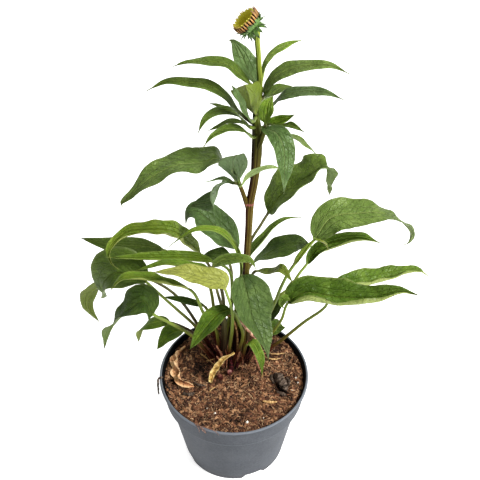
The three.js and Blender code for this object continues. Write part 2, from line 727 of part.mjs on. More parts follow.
/** Height of the soil's surface, without its crumbs. */
function soilHeight(x, y) {
  const toCrown = Math.hypot(x - SOIL.crown[0], y - SOIL.crown[1]);
  const toHollow = Math.hypot(x - SOIL.hollow.at[0], y - SOIL.hollow.at[1]);
  const mound = SOIL.moundHeight * Math.exp(-((toCrown / SOIL.moundRadius) ** 2));
  const hollow = SOIL.hollow.depth * Math.exp(-((toHollow / SOIL.hollow.radius) ** 2));
  const { height, alongX, alongY } = SOIL.swell;
  const swell = height * Math.sin(x / alongX + 0.6) * Math.sin(y / alongY - 0.4);
  return SOIL.level + mound - hollow + swell;
}

/** An upright eight-sided hole, from below the soil's surface up to a height. */
function holeGeometry([x, y], radius, top) {
  const sides = 8;
  const bottom = SOIL.level - SOIL.holeDepth;
  const hole = new THREE.CylinderGeometry(radius, radius, top - bottom, sides);
  hole.rotateX(Math.PI / 2);
  hole.translate(x, y, (top + bottom) / 2);
  return hole;
}

/** The soil: a filled cone with an uneven top and a hole for each stalk and stem. */
function soilGeometry(feet) {
  const random = seeded(7);
  const ring = (radius, heightAt) => Array.from({ length: SOIL.segments }, (_, j) => {
    const angle = (2 * Math.PI * j) / SOIL.segments;
    const x = radius * Math.cos(angle);
    const y = radius * Math.sin(angle);
    return new THREE.Vector3(x, y, heightAt(x, y));
  });
  const bottom = POT.footHeight + POT.floor + GAP;
  const edge = innerRadius(SOIL.level) - SOIL.wallGap;
  const rows = [
    ring(SOIL.floorCentre, () => bottom),
    ...[bottom, POT.collarBottom].map((z) => ring(innerRadius(z) - SOIL.wallGap, () => z)),
  ];
  for (let i = 0; i < SOIL.rings; i++) {
    const radius = edge * (1 - i / SOIL.rings);
    const crumb = i === 0 ? SOIL.edgeCrumb : SOIL.crumb;
    rows.push(ring(radius, (x, y) => soilHeight(x, y) + crumb * (2 * random() - 1)));
  }
  const holes = wasm.Manifold.union(feet.map(({ at, radius }) => (
    solid(holeGeometry(at, radius + SOIL.holeClearance, STALK.kink + 8)))));
  return geometryOf(solid(loft(rows)).subtract(holes));
}

/** Lowers a loose piece until it lies on the soil. */
function seatOnSoil(geometry, soil) {
  const ground = solid(soil);
  const tries = 12;
  const reach = 40;
  let body = solid(geometry);
  for (let i = 0; i < tries; i++) {
    body = body.translate([0, 0, GAP - body.minGap(ground, reach)]);
    if (body.minGap(ground, reach) < GAP * 1.2) break;
  }
  return geometryOf(body);
}

// ---------------------------------------------------------------- flower head

/** Turns a geometry made on the origin onto the top of the flowering stem. */
function placeOnStem(geometry) {
  const top = vector(STEM.path[STEM.path.length - 1]);
  const turn = new THREE.Quaternion().setFromUnitVectors(
    new THREE.Vector3(0, 0, 1), vector(HEAD.tiltAxis).normalize());
  geometry.applyQuaternion(turn);
  geometry.translate(top.x, top.y, top.z);
  return geometry;
}

/** A narrow pointed strap that leans out from the head's axis. */
function strapGeometry({ angle, from, height, length, width, rise, curl }) {
  const steps = 3;
  const outward = new THREE.Vector3(Math.cos(angle), Math.sin(angle), 0);
  const side = new THREE.Vector3(outward.y, -outward.x, 0);
  const centre = outward.clone().multiplyScalar(from).setZ(height);
  const rows = [];
  for (let i = 0; i <= steps; i++) {
    const share = i / steps;
    const pitch = radians(rise + curl * share);
    const along = outward.clone().multiplyScalar(Math.cos(pitch)).setZ(Math.sin(pitch));
    const up = side.clone().cross(along);
    const half = (width / 2) * (1 - 0.82 * share ** 2.2);
    rows.push([[-1, 1], [1, 1], [1, -1], [-1, -1]].map(([a, b]) => centre.clone()
      .addScaledVector(side, a * half)
      .addScaledVector(up, (b * HEAD.strapThickness) / 2)));
    centre.addScaledVector(along, length / steps);
  }
  return loft(rows);
}

/** The green cup under the flower, with two rows of bracts. */
function bractsGeometry() {
  const random = seeded(21);
  const { radius, height, neck, segments } = HEAD.receptacle;
  const cup = turned([
    [0, GAP], [neck, GAP], [radius * 0.7, HEAD.bractRows[0].at], [radius, height - 2],
    [radius, height], [0, height],
  ].map(([x, z]) => new THREE.Vector2(x, z)), segments);
  const { width, spread, root } = HEAD.bracts;
  const bracts = HEAD.bractRows.flatMap(({ count, length, rise, curl, at }, row) => (
    Array.from({ length: count }, (_, i) => strapGeometry({
      angle: (2 * Math.PI * (i + 0.5 * row + 0.25 * random())) / count,
      from: radius * root,
      height: at,
      length: length * (0.88 + 0.24 * random()) + radius * 0.3,
      width,
      rise: rise + spread * (random() - 0.5),
      curl,
    }))));
  return placeOnStem(fuse([cup, ...bracts]));
}

/** The short ray florets, which stand up round the disc from a ring that joins them. */
function raysGeometry() {
  const random = seeded(33);
  const { outer, inner, height, segments } = HEAD.ring;
  const low = HEAD.receptacle.height + GAP;
  const high = low + height;
  const ring = turned([
    [inner, low], [outer, low], [outer, high], [inner, high], [inner, low],
  ].map(([x, z]) => new THREE.Vector2(x, z)), segments);
  const { count, length, width, rise, spread, curl } = HEAD.rays;
  const rays = Array.from({ length: count }, (_, i) => strapGeometry({
    angle: (2 * Math.PI * (i + 0.2 * random())) / count,
    from: (inner + outer) / 2,
    height: low + 0.5,
    length: length * (0.85 + 0.3 * random()),
    width,
    rise: rise + spread * random(),
    curl,
  }));
  return placeOnStem(fuse([ring, ...rays]));
}

/** A low drum, raised at its edge, set with small pointed florets in a sunflower spiral. */
function discGeometry() {
  const { radius: r, height, segments } = HEAD.disc;
  const low = HEAD.receptacle.height + GAP;
  const top = low + height;
  const drum = turned([
    [0, low], [r, low], [r, top - 2], [r * 0.92, top - 0.3], [r * 0.74, top], [r * 0.3, top - 0.8],
    [0, top - 1],
  ].map(([x, z]) => new THREE.Vector2(x, z)), segments);
  const goldenAngle = Math.PI * (3 - Math.sqrt(5));
  const { count, radius, length, reach } = HEAD.florets;
  const florets = Array.from({ length: count }, (_, i) => {
    const distance = reach * r * Math.sqrt((i + 0.5) / count);
    const cone = new THREE.ConeGeometry(radius, length, 4);
    cone.rotateX(Math.PI / 2);
    cone.translate(
      distance * Math.cos(i * goldenAngle), distance * Math.sin(i * goldenAngle), top - 0.4);
    return cone;
  });
  return placeOnStem(fuse([drum, ...florets]));
}

// ---------------------------------------------------------------- cut stubs

/** A stalk cut off short, in a hole of its own. */
function stubGeometry({ at: [x, y], lean, height }) {
  const low = SOIL.level - SOIL.holeDepth + GAP;
  const slim = STUB.radius - STUB.flare;
  return stemGeometry({
    path: [[x, y, low], [x, y, STALK.kink - 1], [x + lean[0], y + lean[1], STALK.kink + height]],
    radii: [slim, slim, STUB.radius + STUB.flare],
  }, 8);
}

// ---------------------------------------------------------------- assembly

/** A leaf that grows from one of the stems. */
function stemLeaf(leaf) {
  const stems = { stem: STEM, shoot: SHOOT, branch: BRANCH };
  return leafGeometry({ ...leaf, root: axisAtHeight(stems[leaf.on], leaf.at) });
}

/** The flowering stem with its side shoot, its branch and all their leaves, as one body. */
function floweringStemGeometry() {
  const [x, y] = STEM.path[0];
  const foot = [x, y, SOIL.level - SOIL.holeDepth + GAP];
  const main = { path: [foot, ...STEM.path], radii: [STEM.radii[0], ...STEM.radii] };
  return fuse([
    stemGeometry(main, 10),
    stemGeometry(SHOOT, 8),
    stemGeometry(BRANCH, 8),
    ...STEM_LEAVES.map(stemLeaf),
  ]);
}

const group = new THREE.Group();

function add(name, geometry, color, roughness = 0.6) {
  const material = new THREE.MeshStandardMaterial({ color, roughness, metalness: 0 });
  const mesh = new THREE.Mesh(geometry, material);
  mesh.name = name;
  group.add(mesh);
}

const feet = [
  { at: STEM.path[0].slice(0, 2), radius: STEM.radii[0] },
  ...BASAL_LEAVES.map(({ foot }) => ({ at: foot, radius: STALK.footRadius })),
  ...STUBS.map(({ at }) => ({ at, radius: STUB.radius })),
];

add('pot', potGeometry(), COLOURS.pot, 0.5);
const soil = soilGeometry(feet);
add('soil', soil, COLOURS.soil, 0.95);
add('flowering_stem', floweringStemGeometry(), COLOURS.stem);
add('flower_bracts', bractsGeometry(), COLOURS.bract);
add('flower_rays', raysGeometry(), COLOURS.ray);
add('flower_disc', discGeometry(), COLOURS.disc);
for (const leaf of BASAL_LEAVES) {
  add(leaf.name, leafGeometry(leaf), COLOURS[leaf.tone]);
}

for (const leaf of DRY_PIECES) {
  const geometry = leafGeometry(leaf);
  add(leaf.name, leaf.held ? geometry : seatOnSoil(geometry, soil), COLOURS[leaf.tone], 0.9);
}
for (const stub of STUBS) {
  add(stub.name, stubGeometry(stub), COLOURS.stub, 0.8);
}
for (const chip of CHIPS) {
  const geometry = seatOnSoil(stemGeometry(chip, chip.sides), soil);
  add(chip.name, geometry, COLOURS[chip.tone], 0.95);
}

export default group;
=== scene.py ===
# A young purple coneflower in a nursery pot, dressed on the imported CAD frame.
import bpy
import math
import random
from functools import partial
from mathutils import Matrix, Vector, noise


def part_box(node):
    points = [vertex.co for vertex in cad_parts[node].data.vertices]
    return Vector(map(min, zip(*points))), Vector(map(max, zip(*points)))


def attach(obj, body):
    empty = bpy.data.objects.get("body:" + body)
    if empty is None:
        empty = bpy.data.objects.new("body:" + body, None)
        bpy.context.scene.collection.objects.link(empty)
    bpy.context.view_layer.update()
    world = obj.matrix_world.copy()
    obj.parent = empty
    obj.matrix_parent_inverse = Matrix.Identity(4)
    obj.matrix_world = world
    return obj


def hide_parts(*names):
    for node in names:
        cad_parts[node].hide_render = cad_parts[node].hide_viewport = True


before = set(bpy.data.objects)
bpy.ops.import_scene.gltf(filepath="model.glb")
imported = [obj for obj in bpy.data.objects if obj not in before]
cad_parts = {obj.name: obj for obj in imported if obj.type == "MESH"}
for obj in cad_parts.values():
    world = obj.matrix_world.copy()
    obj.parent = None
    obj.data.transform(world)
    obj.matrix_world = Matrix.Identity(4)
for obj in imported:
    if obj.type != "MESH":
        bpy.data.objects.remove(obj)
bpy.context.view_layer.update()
mm = 0.001
circle = 2 * math.pi


def addNode(tree, kind, *feeds, **settings):  # "Kind CHOICE"; an upper case kind alone is a Math operation
    kind, *choices = ("Math " + kind if kind.isupper() else kind).split()
    family = next(start for start in ("Shader", "Geometry", "Function", "")
                  if hasattr(bpy.types, start + "Node" + kind))
    node = tree.nodes.new(family + "Node" + kind)
    for choice in choices:  # goes to the menu that has it
        menu = next(item.identifier for item in node.bl_rna.properties if item.type == "ENUM"
                    and not item.is_readonly and choice in item.enum_items)
        setattr(node, menu, choice)
    for name, value in settings.items():
        if name == "stops":  # of a colour ramp, as places and hex colours
            elements = node.color_ramp.elements
            while len(elements) < len(value):
                elements.new(0.5)
            for element, (at, colour) in zip(elements, value):
                element.position = at
                element.color = linear(colour)
        else:
            setattr(node, name, value)
    openSockets = [socket for socket in node.inputs if socket.enabled]
    fed = {}
    for place, value in enumerate(feeds):  # in the open sockets' order, or by name
        if isinstance(value, dict):
            fed.update({node.inputs[name]: given for name, given in value.items()})
        else:
            fed[openSockets[place]] = value
    for socket, value in fed.items():
        if isinstance(value, bpy.types.Node):
            value = next(out for out in value.outputs if out.enabled)
        if isinstance(value, bpy.types.NodeSocket):
            tree.links.new(value, socket)
        else:
            socket.default_value = value
    return node


def linear(hexColour):  # sRGB hex to the linear colour that a socket takes
    channels = [int(hexColour[i:i + 2], 16) / 255 for i in (1, 3, 5)]
    return [c / 12.92 if c <= 0.04045 else ((c + 0.055) / 1.055) ** 2.4 for c in channels] + [1.0]


def newMaterial(name):
    material = bpy.data.materials.new(name)
    material.use_nodes = True
    material.node_tree.nodes.clear()
    return material, partial(addNode, material.node_tree)


def closeMaterial(material, put, colour, rough, relief=None, bump=(0, 0), more=()):  # what most materials end in
    skin = {"Base Color": colour, "Roughness": rough, **dict(more)}
    if relief is not None:
        strength, depth = bump
        skin["Normal"] = put("Bump", {"Strength": strength, "Distance": depth * mm, "Height": relief})
    put("OutputMaterial", put("BsdfPrincipled", skin))
    return material


def newShape(name, sizes):  # a geometry tree with named inputs and their usual values
    tree = bpy.data.node_groups.new(name, "GeometryNodeTree")
    for side in ("INPUT", "OUTPUT"):
        tree.interface.new_socket("Geometry", in_out=side, socket_type="NodeSocketGeometry")
    for label, value in sizes.items():
        kind = {int: "Int", float: "Float", tuple: "Vector"}[type(value)]
        tree.interface.new_socket(label, in_out="INPUT", socket_type="NodeSocket" + kind).default_value = value
    return tree, partial(addNode, tree), tree.nodes.new("NodeGroupInput").outputs


def closeShape(tree, geometry, material):  # what every tree ends in
    put = partial(addNode, tree)
    dressed = put("SetMaterial", {"Geometry": put("RealizeInstances", geometry), "Material": material})
    put("GroupOutput", dressed)
    return tree


def showPiece(name, mesh):
    mesh.name = name
    piece = bpy.data.objects.new(name, mesh)
    bpy.context.scene.collection.objects.link(piece)
    return piece


def growMesh(tree, mesh, sizes):  # runs a geometry tree on a mesh and hands back a plain mesh
    source = bpy.data.objects.new("seed", mesh)
    bpy.context.scene.collection.objects.link(source)
    modifier = source.modifiers.new("Shape", "NODES")
    modifier.node_group = tree
    for item in tree.interface.items_tree:
        if item.in_out == "INPUT" and item.name in sizes:
            modifier[item.identifier] = sizes[item.name]
    graph = bpy.context.evaluated_depsgraph_get()
    made = bpy.data.meshes.new_from_object(
        source.evaluated_get(graph), preserve_all_data_layers=True, depsgraph=graph)
    source.modifiers.clear()
    bpy.data.objects.remove(source)
    if len(made.materials) > 1 and not made.materials[0]:  # the slot that the source mesh had no material for
        made.materials.pop(index=0)
    return made


def joinMeshes(name, meshes):  # several meshes as one piece, each with its own material
    pieces = [showPiece(name + str(i), mesh) for i, mesh in enumerate(meshes)]
    for piece in bpy.context.selected_objects:
        piece.select_set(False)
    for piece in pieces:
        piece.select_set(True)
    bpy.context.view_layer.objects.active = pieces[0]
    bpy.ops.object.join()
    pieces[0].name = name
    pieces[0].data.name = name
    return pieces[0]


def standFor(piece, slot, *nodes):  # the piece rides with the plant and stands for CAD nodes
    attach(piece, "root")
    if nodes:
        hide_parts(*nodes)


# camera, light and floor
view = {"lens": 82.5, "sensor": 36, "at": (0.0069, -0.7958, 1.1108), "look": (0.0069, 0.0, 0.337)}
light = {"worldStrength": 0.36, "floorColour": "#f6f6f6", "floorGlow": 0.6, "floorReach": 30}
lamps = [
    {"name": "key", "at": (1.15, -0.7, 1.6), "size": 0.7, "watts": 48},
    {"name": "leftFill", "at": (-1.2, -1.0, 1.1), "size": 1.2, "watts": 1.5},
    {"name": "backRim", "at": (-0.4, 1.2, 1.3), "size": 1.0, "watts": 7},
]


def setStudio():
    camera = bpy.data.objects.new("camera", bpy.data.cameras.new("camera"))
    camera.data.lens = view["lens"]
    camera.data.sensor_width = view["sensor"]
    camera.data.clip_start = 0.05
    camera.location = view["at"]
    aim = Vector(view["look"]) - Vector(view["at"])
    camera.rotation_euler = aim.to_track_quat("-Z", "Y").to_euler()
    bpy.context.scene.collection.objects.link(camera)
    bpy.context.scene.camera = camera
    for lamp in lamps:
        data = bpy.data.lights.new(lamp["name"], "AREA")
        data.shape = "DISK"
        data.size = lamp["size"]
        data.energy = lamp["watts"]
        lampObject = bpy.data.objects.new(lamp["name"], data)
        lampObject.location = lamp["at"]
        aim = Vector((0, 0, 0.3)) - Vector(lamp["at"])
        lampObject.rotation_euler = aim.to_track_quat("-Z", "Y").to_euler()
        bpy.context.scene.collection.objects.link(lampObject)
    world = bpy.data.worlds.new("studio")
    bpy.context.scene.world = world
    world.use_nodes = True
    backdrop = world.node_tree.nodes["Background"]
    backdrop.inputs["Color"].default_value = (1, 1, 1, 1)
    backdrop.inputs["Strength"].default_value = light["worldStrength"]
    bpy.context.scene.view_settings.view_transform = "Standard"
    bpy.context.scene.view_settings.look = "Medium High Contrast"

    # matt white board, lit from below as well, which keeps the shadow faint
    material, put = newMaterial("paintedFloor")
    paint = put("BsdfPrincipled",
                {"Base Color": linear(light["floorColour"]), "Roughness": 0.9,
                 "Emission Color": linear(light["floorColour"]), "Emission Strength": light["floorGlow"]})
    put("OutputMaterial", paint)
    mesh = bpy.data.meshes.new("floor")
    far = light["floorReach"]
    mesh.from_pydata([(-far, -far, 0), (far, -far, 0), (far, far, 0), (-far, far, 0)], [], [(0, 1, 2, 3)])
    mesh.materials.append(material)
    showPiece("floor", mesh)


setStudio()
print("studio is set")

# leaf and stem material
leafTones = {  # dark, mid and light green of the blade, its veins, and its underside
    "mid": ("#3f521a", "#5a7029", "#758a3d", "#8e9e4f", "#94a86a"),
    "bright": ("#3d5812", "#59751e", "#7c9534", "#96a74a", "#a2b062"),
    "blue": ("#3c5223", "#546c3a", "#6e8551", "#8b9a65", "#71875c"),
    "dark": ("#2c4012", "#425a1e", "#5d7332", "#758546", "#6a7c44"),
    "soft": ("#50642c", "#697f3c", "#839750", "#9daa66", "#8b9d66"),
    "matt": ("#454c18", "#626b2a", "#7a823a", "#90964a", "#7c8c3a"),
    "deep": ("#3a5216", "#546f22", "#718a36", "#8c9e4c", "#9aa662"),
    "lime": ("#53701c", "#6f8a2a", "#8ca03c", "#a8b450", "#a9b264"),
    "cool": ("#36491f", "#4c6132", "#667b43", "#81925a", "#78905e"),
    "olive": ("#414d18", "#5a6a24", "#798436", "#93994b", "#a4ac68"),
    "yellow": ("#878c3c", "#9ca14e", "#b1b566", "#bcc074", "#a4a962"),
    "yellowgreen": ("#5c6a19", "#788428", "#979f3d", "#acb053", "#a4aa60"),
}
stalkColours = {"high": "#75863c", "middle": "#6a6c2c", "low": "#5a2c1c", "foot": "#30100c", "purple": "#54453a",
                "soil": 117}  # heights count from the soil, in mm
weatherColour = "#4a3d26"
lightThrough = {"share": 0.2, "colour": "#86a020"}
veinSizes = {"midribWidth": 1.5, "sideVeinSpacing": 9.0, "netCell": 2.6, "puckerCell": 5.0}  # mm


def livingLeaf(tone):  # fresh leaf: waxy satin skin over a sunken net of veins
    dark, mid, pale, vein, under = leafTones[tone]
    material, put = newMaterial("freshLeaf" + tone.capitalize())
    placeParts = put("SeparateXYZ", put("Attribute", attribute_name="bladePlace").outputs["Vector"])
    sizeParts = put("SeparateXYZ", put("Attribute", attribute_name="bladeSize").outputs["Vector"])
    tint = put("Attribute", attribute_name="leafTint").outputs["Fac"]
    across, share, below = placeParts.outputs
    reach, along, half = sizeParts.outputs  # mm from the midrib, mm along the leaf, half width in mm
    reachSize = put("ABSOLUTE", reach)
    acrossSize = put("ABSOLUTE", across)
    flatPlace = put("CombineXYZ", reach, along, tint)

    # midrib, broad at the base and fine at the tip
    ribWidth = put("MapRange", share, 0.0, 1.0, veinSizes["midribWidth"], 0.5)
    midrib = put("MapRange SMOOTHSTEP", reachSize, ribWidth, 0.0, 0.0, 1.0)
    # long veins that run from the base to the tip, in line with the edge
    longGap = put("SUBTRACT", 0.36, put("PINGPONG", acrossSize, 0.36))
    longVein = put("MapRange SMOOTHSTEP", put("MULTIPLY", longGap, half), 0.8, 0.0, 0.0, 1.0)
    # side veins that leave the midrib and lean towards the tip
    lean = put("MULTIPLY_ADD", reachSize, -1.25, along)
    bent = put("MULTIPLY_ADD", put("TexNoise", {"Vector": flatPlace, "Scale": 0.12, "Detail": 1.0}), 9.0, lean)
    sideStep = put("PINGPONG", bent, veinSizes["sideVeinSpacing"] / 2)
    sideVein = put("MapRange SMOOTHSTEP", sideStep, 0.7, 0.0, 0.0, 1.0)
    # the fine net between them
    net = put("TexVoronoi DISTANCE_TO_EDGE", {"Vector": flatPlace, "Scale": 1 / veinSizes["netCell"]})
    netVein = put("MapRange", net, 0.12, 0.0, 0.0, 1.0)
    veins = put("MULTIPLY", put("MAXIMUM", longVein, sideVein), put("MapRange", half, 1.5, 5.0))

    # colour of the upper face: broad blotches, fine mottling, then veins
    blotch = put("TexNoise", {"Vector": flatPlace, "Scale": 0.055, "Detail": 3.0, "Roughness": 0.6})
    mottle = put("TexNoise", {"Vector": flatPlace, "Scale": 0.45, "Detail": 3.0, "Roughness": 0.7})
    shade = put("MULTIPLY_ADD", tint, 0.22, put("MULTIPLY_ADD", mottle, 0.35, blotch))
    green = put("ValToRGB", shade, stops=[(0.42, dark), (0.72, mid), (1.0, pale)])
    faintVein = put("MULTIPLY", veins, 0.16)
    withVeins = put("Mix RGBA", put("MULTIPLY_ADD", netVein, 0.07, faintVein), green, linear(vein))
    ribPart = put("MULTIPLY", midrib, 0.55)
    upper = put("Mix RGBA", ribPart, withVeins, linear(vein))
    # the underside is duller and paler, with raised veins
    lower = put("Mix RGBA", put("MAXIMUM", ribPart, faintVein), linear(under), linear(vein))
    blade = put("Mix RGBA", below, upper, lower)

    # edges and tips weather to a purplish brown
    atTip = put("MapRange SMOOTHSTEP", share, 0.84, 1.0, 0.0, 0.7)
    weather = put("MAXIMUM", put("MapRange SMOOTHSTEP", acrossSize, 0.84, 1.0, 0.0, 0.5), atTip)
    blade = put("Mix RGBA", put("MULTIPLY", weather, mottle), blade, linear(weatherColour))

    # stalks: pale green above, wine red where they leave the crown
    height = put("SeparateXYZ", put("TexCoord").outputs["Object"])
    aboveSoil = put("MULTIPLY_ADD", height.outputs[2], 1 / mm, -stalkColours["soil"])
    farther = put("MAXIMUM", aboveSoil, put("MULTIPLY", along, 0.7))
    streakPlace = put("Mapping", {"Vector": flatPlace, "Scale": (2.0, 0.06, 1.0)})
    streak = put("TexNoise", {"Vector": streakPlace, "Scale": 1.0, "Detail": 2.0})
    stagger = put("MULTIPLY_ADD", tint, 22.0, put("MULTIPLY_ADD", streak, 24.0, farther))
    rise = put("MapRange", stagger, 20.0, 120.0)
    stalk = put("ValToRGB", rise, stops=[(0.0, stalkColours["foot"]), (0.22, stalkColours["low"]),
                                         (0.48, stalkColours["middle"]), (1.0, stalkColours["high"])])
    # some stalks are brownish purple most of the way up
    purple = put("MapRange", put("ABSOLUTE", put("SUBTRACT", tint, 0.73)), 0.2, 0.17, 0.0, 0.7)
    stalk = put("Mix RGBA", purple, stalk, linear(stalkColours["purple"]))
    isFar = put("MapRange SMOOTHSTEP", share, 0.1, 0.25)
    isBlade = put("MAXIMUM", put("MapRange SMOOTHSTEP", half, 1.2, 4.5), isFar)
    colour = put("Mix RGBA", isBlade, stalk, blade)

    # relief: sunken veins above, raised ones below, and puckers between them
    pucker = put("TexVoronoi SMOOTH_F1",
                 {"Vector": flatPlace, "Scale": 1 / veinSizes["puckerCell"], "Smoothness": 1.0})
    ribbed = put("MULTIPLY_ADD", midrib, -0.75, put("MULTIPLY_ADD", veins, -0.85, pucker))
    turnOver = put("MapRange", below, 0.0, 1.0, 1.0, -0.8)
    turnedRelief = put("MULTIPLY", put("MULTIPLY_ADD", netVein, -0.3, ribbed), turnOver)
    bump = put("Bump", {"Strength": 0.85, "Distance": 0.0013, "Height": put("MULTIPLY", turnedRelief, isBlade)})
    sheenSpread = put("MapRange", mottle, 0.0, 1.0, 0.36, 0.52)
    skin = put("BsdfPrincipled",
               {"Base Color": colour, "Roughness": sheenSpread, "IOR": 1.42, "Normal": bump,
                "Specular IOR Level": 0.4})
    # some light comes through a blade and leaves it yellow-green
    glow = put("BsdfTranslucent", put("Mix RGBA", 0.5, colour, linear(lightThrough["colour"])), bump)
    put("OutputMaterial", put("MixShader", put("MULTIPLY", isBlade, lightThrough["share"]), skin, glow))
    return material


def dryLeafMaterial(name, colours):  # dead leaf: papery, brown along the fold and bleached at the edges
    material, put = newMaterial(name)
    size = put("Attribute", attribute_name="bladeSize")
    spot = put("TexNoise", {"Vector": size.outputs["Vector"], "Scale": 0.25, "Detail": 4.0})
    fold = put("TexNoise", {"Vector": size.outputs["Vector"], "Scale": 0.9, "Detail": 2.0})
    parts = put("SeparateXYZ", size.outputs["Vector"])
    lean = put("MULTIPLY_ADD", put("ABSOLUTE", parts), -1.0, parts.outputs[1])
    vein = put("MapRange", put("PINGPONG", lean, 2.2), 0.5, 0.0, 0.0, 0.45)
    aside = put("ABSOLUTE", put("SeparateXYZ", put("Attribute", attribute_name="bladePlace").outputs["Vector"]))
    bleached = put("MULTIPLY_ADD", aside, 0.4, spot)
    paper = put("ValToRGB", bleached, stops=[(0.4, colours[0]), (0.62, colours[1]), (0.9, colours[2])])
    veined = put("Mix RGBA", vein, paper, linear(colours[0]))
    relief = put("MULTIPLY_ADD", vein, -0.6, fold)
    return closeMaterial(material, put, veined, 0.72, relief, (0.8, 0.6), {"Sheen Weight": 0.1})


stemColours = [  # place from foot to flower, colour of the side toward the key light, colour of the side away from it: partly the stem's own wine red, partly painted shade
    (0.0, "#48301a", "#200c05"), (0.1, "#4e441a", "#2c1608"), (0.3, "#565020", "#34180a"),
    (0.5, "#584c1c", "#3a180b"), (0.58, "#4e4218", "#32150c"), (0.68, "#504c1a", "#2c1a0a"),
    (0.78, "#545f22", "#333f12"), (0.88, "#7c8636", "#4a581c"), (1.0, "#8a9440", "#56642a")]
stemSpan = {"foot": 125, "flower": 605}  # mm
stemNode = {"height": 363, "reach": 1.8, "fray": 6, "colour": "#82504a"}  # the ring where the side shoot leaves


def stemMaterial():  # herbaceous stem: ribbed satin skin, wine red low down and on the side away from the key light, there partly its own red and partly painted shade, yellow-green near the flower
    material, put = newMaterial("ribbedStem")
    place = put("TexCoord").outputs["Object"]
    height = put("SeparateXYZ", place)
    streakPlace = put("Mapping", {"Vector": place, "Scale": (700.0, 700.0, 22.0)})
    streak = put("TexNoise", {"Vector": streakPlace, "Scale": 1.0, "Detail": 3.0, "Roughness": 0.6})
    blotch = put("TexNoise", {"Vector": place, "Scale": 40.0, "Detail": 2.0})
    rise = put("MapRange", put("MULTIPLY_ADD", blotch, 0.03, height.outputs[2]), stemSpan["foot"] * mm,
               stemSpan["flower"] * mm)
    # painted light: a lit and a shaded copy of the stem's colours, mixed by how far the skin faces the key light
    paintedLitSide = put("ValToRGB", rise, stops=[(at, sun) for at, sun, shade in stemColours])
    paintedShadeSide = put("ValToRGB", rise, stops=[(at, shade) for at, sun, shade in stemColours])
    facing = put("MULTIPLY_ADD", streak, 1.3, put("SeparateXYZ", put("NewGeometry").outputs["Normal"]))
    skin = put("Mix RGBA", put("MapRange SMOOTHSTEP", facing, 0.95, -0.05), paintedLitSide, paintedShadeSide)
    frayed = put("MULTIPLY_ADD", streak, stemNode["fray"] * mm, height.outputs[2])  # streak is about a half
    nodeGap = put("ABSOLUTE", put("SUBTRACT", frayed, (stemNode["height"] + stemNode["fray"] / 2) * mm))
    ring = put("MapRange SMOOTHSTEP", nodeGap, stemNode["reach"] * mm, 0.0012, 0.0, 0.85)
    colour = put("Mix RGBA", ring, skin, linear(stemNode["colour"]))
    return closeMaterial(material, put, colour, 0.6, streak, (0.5, 0.5), {"Specular IOR Level": 0.1})


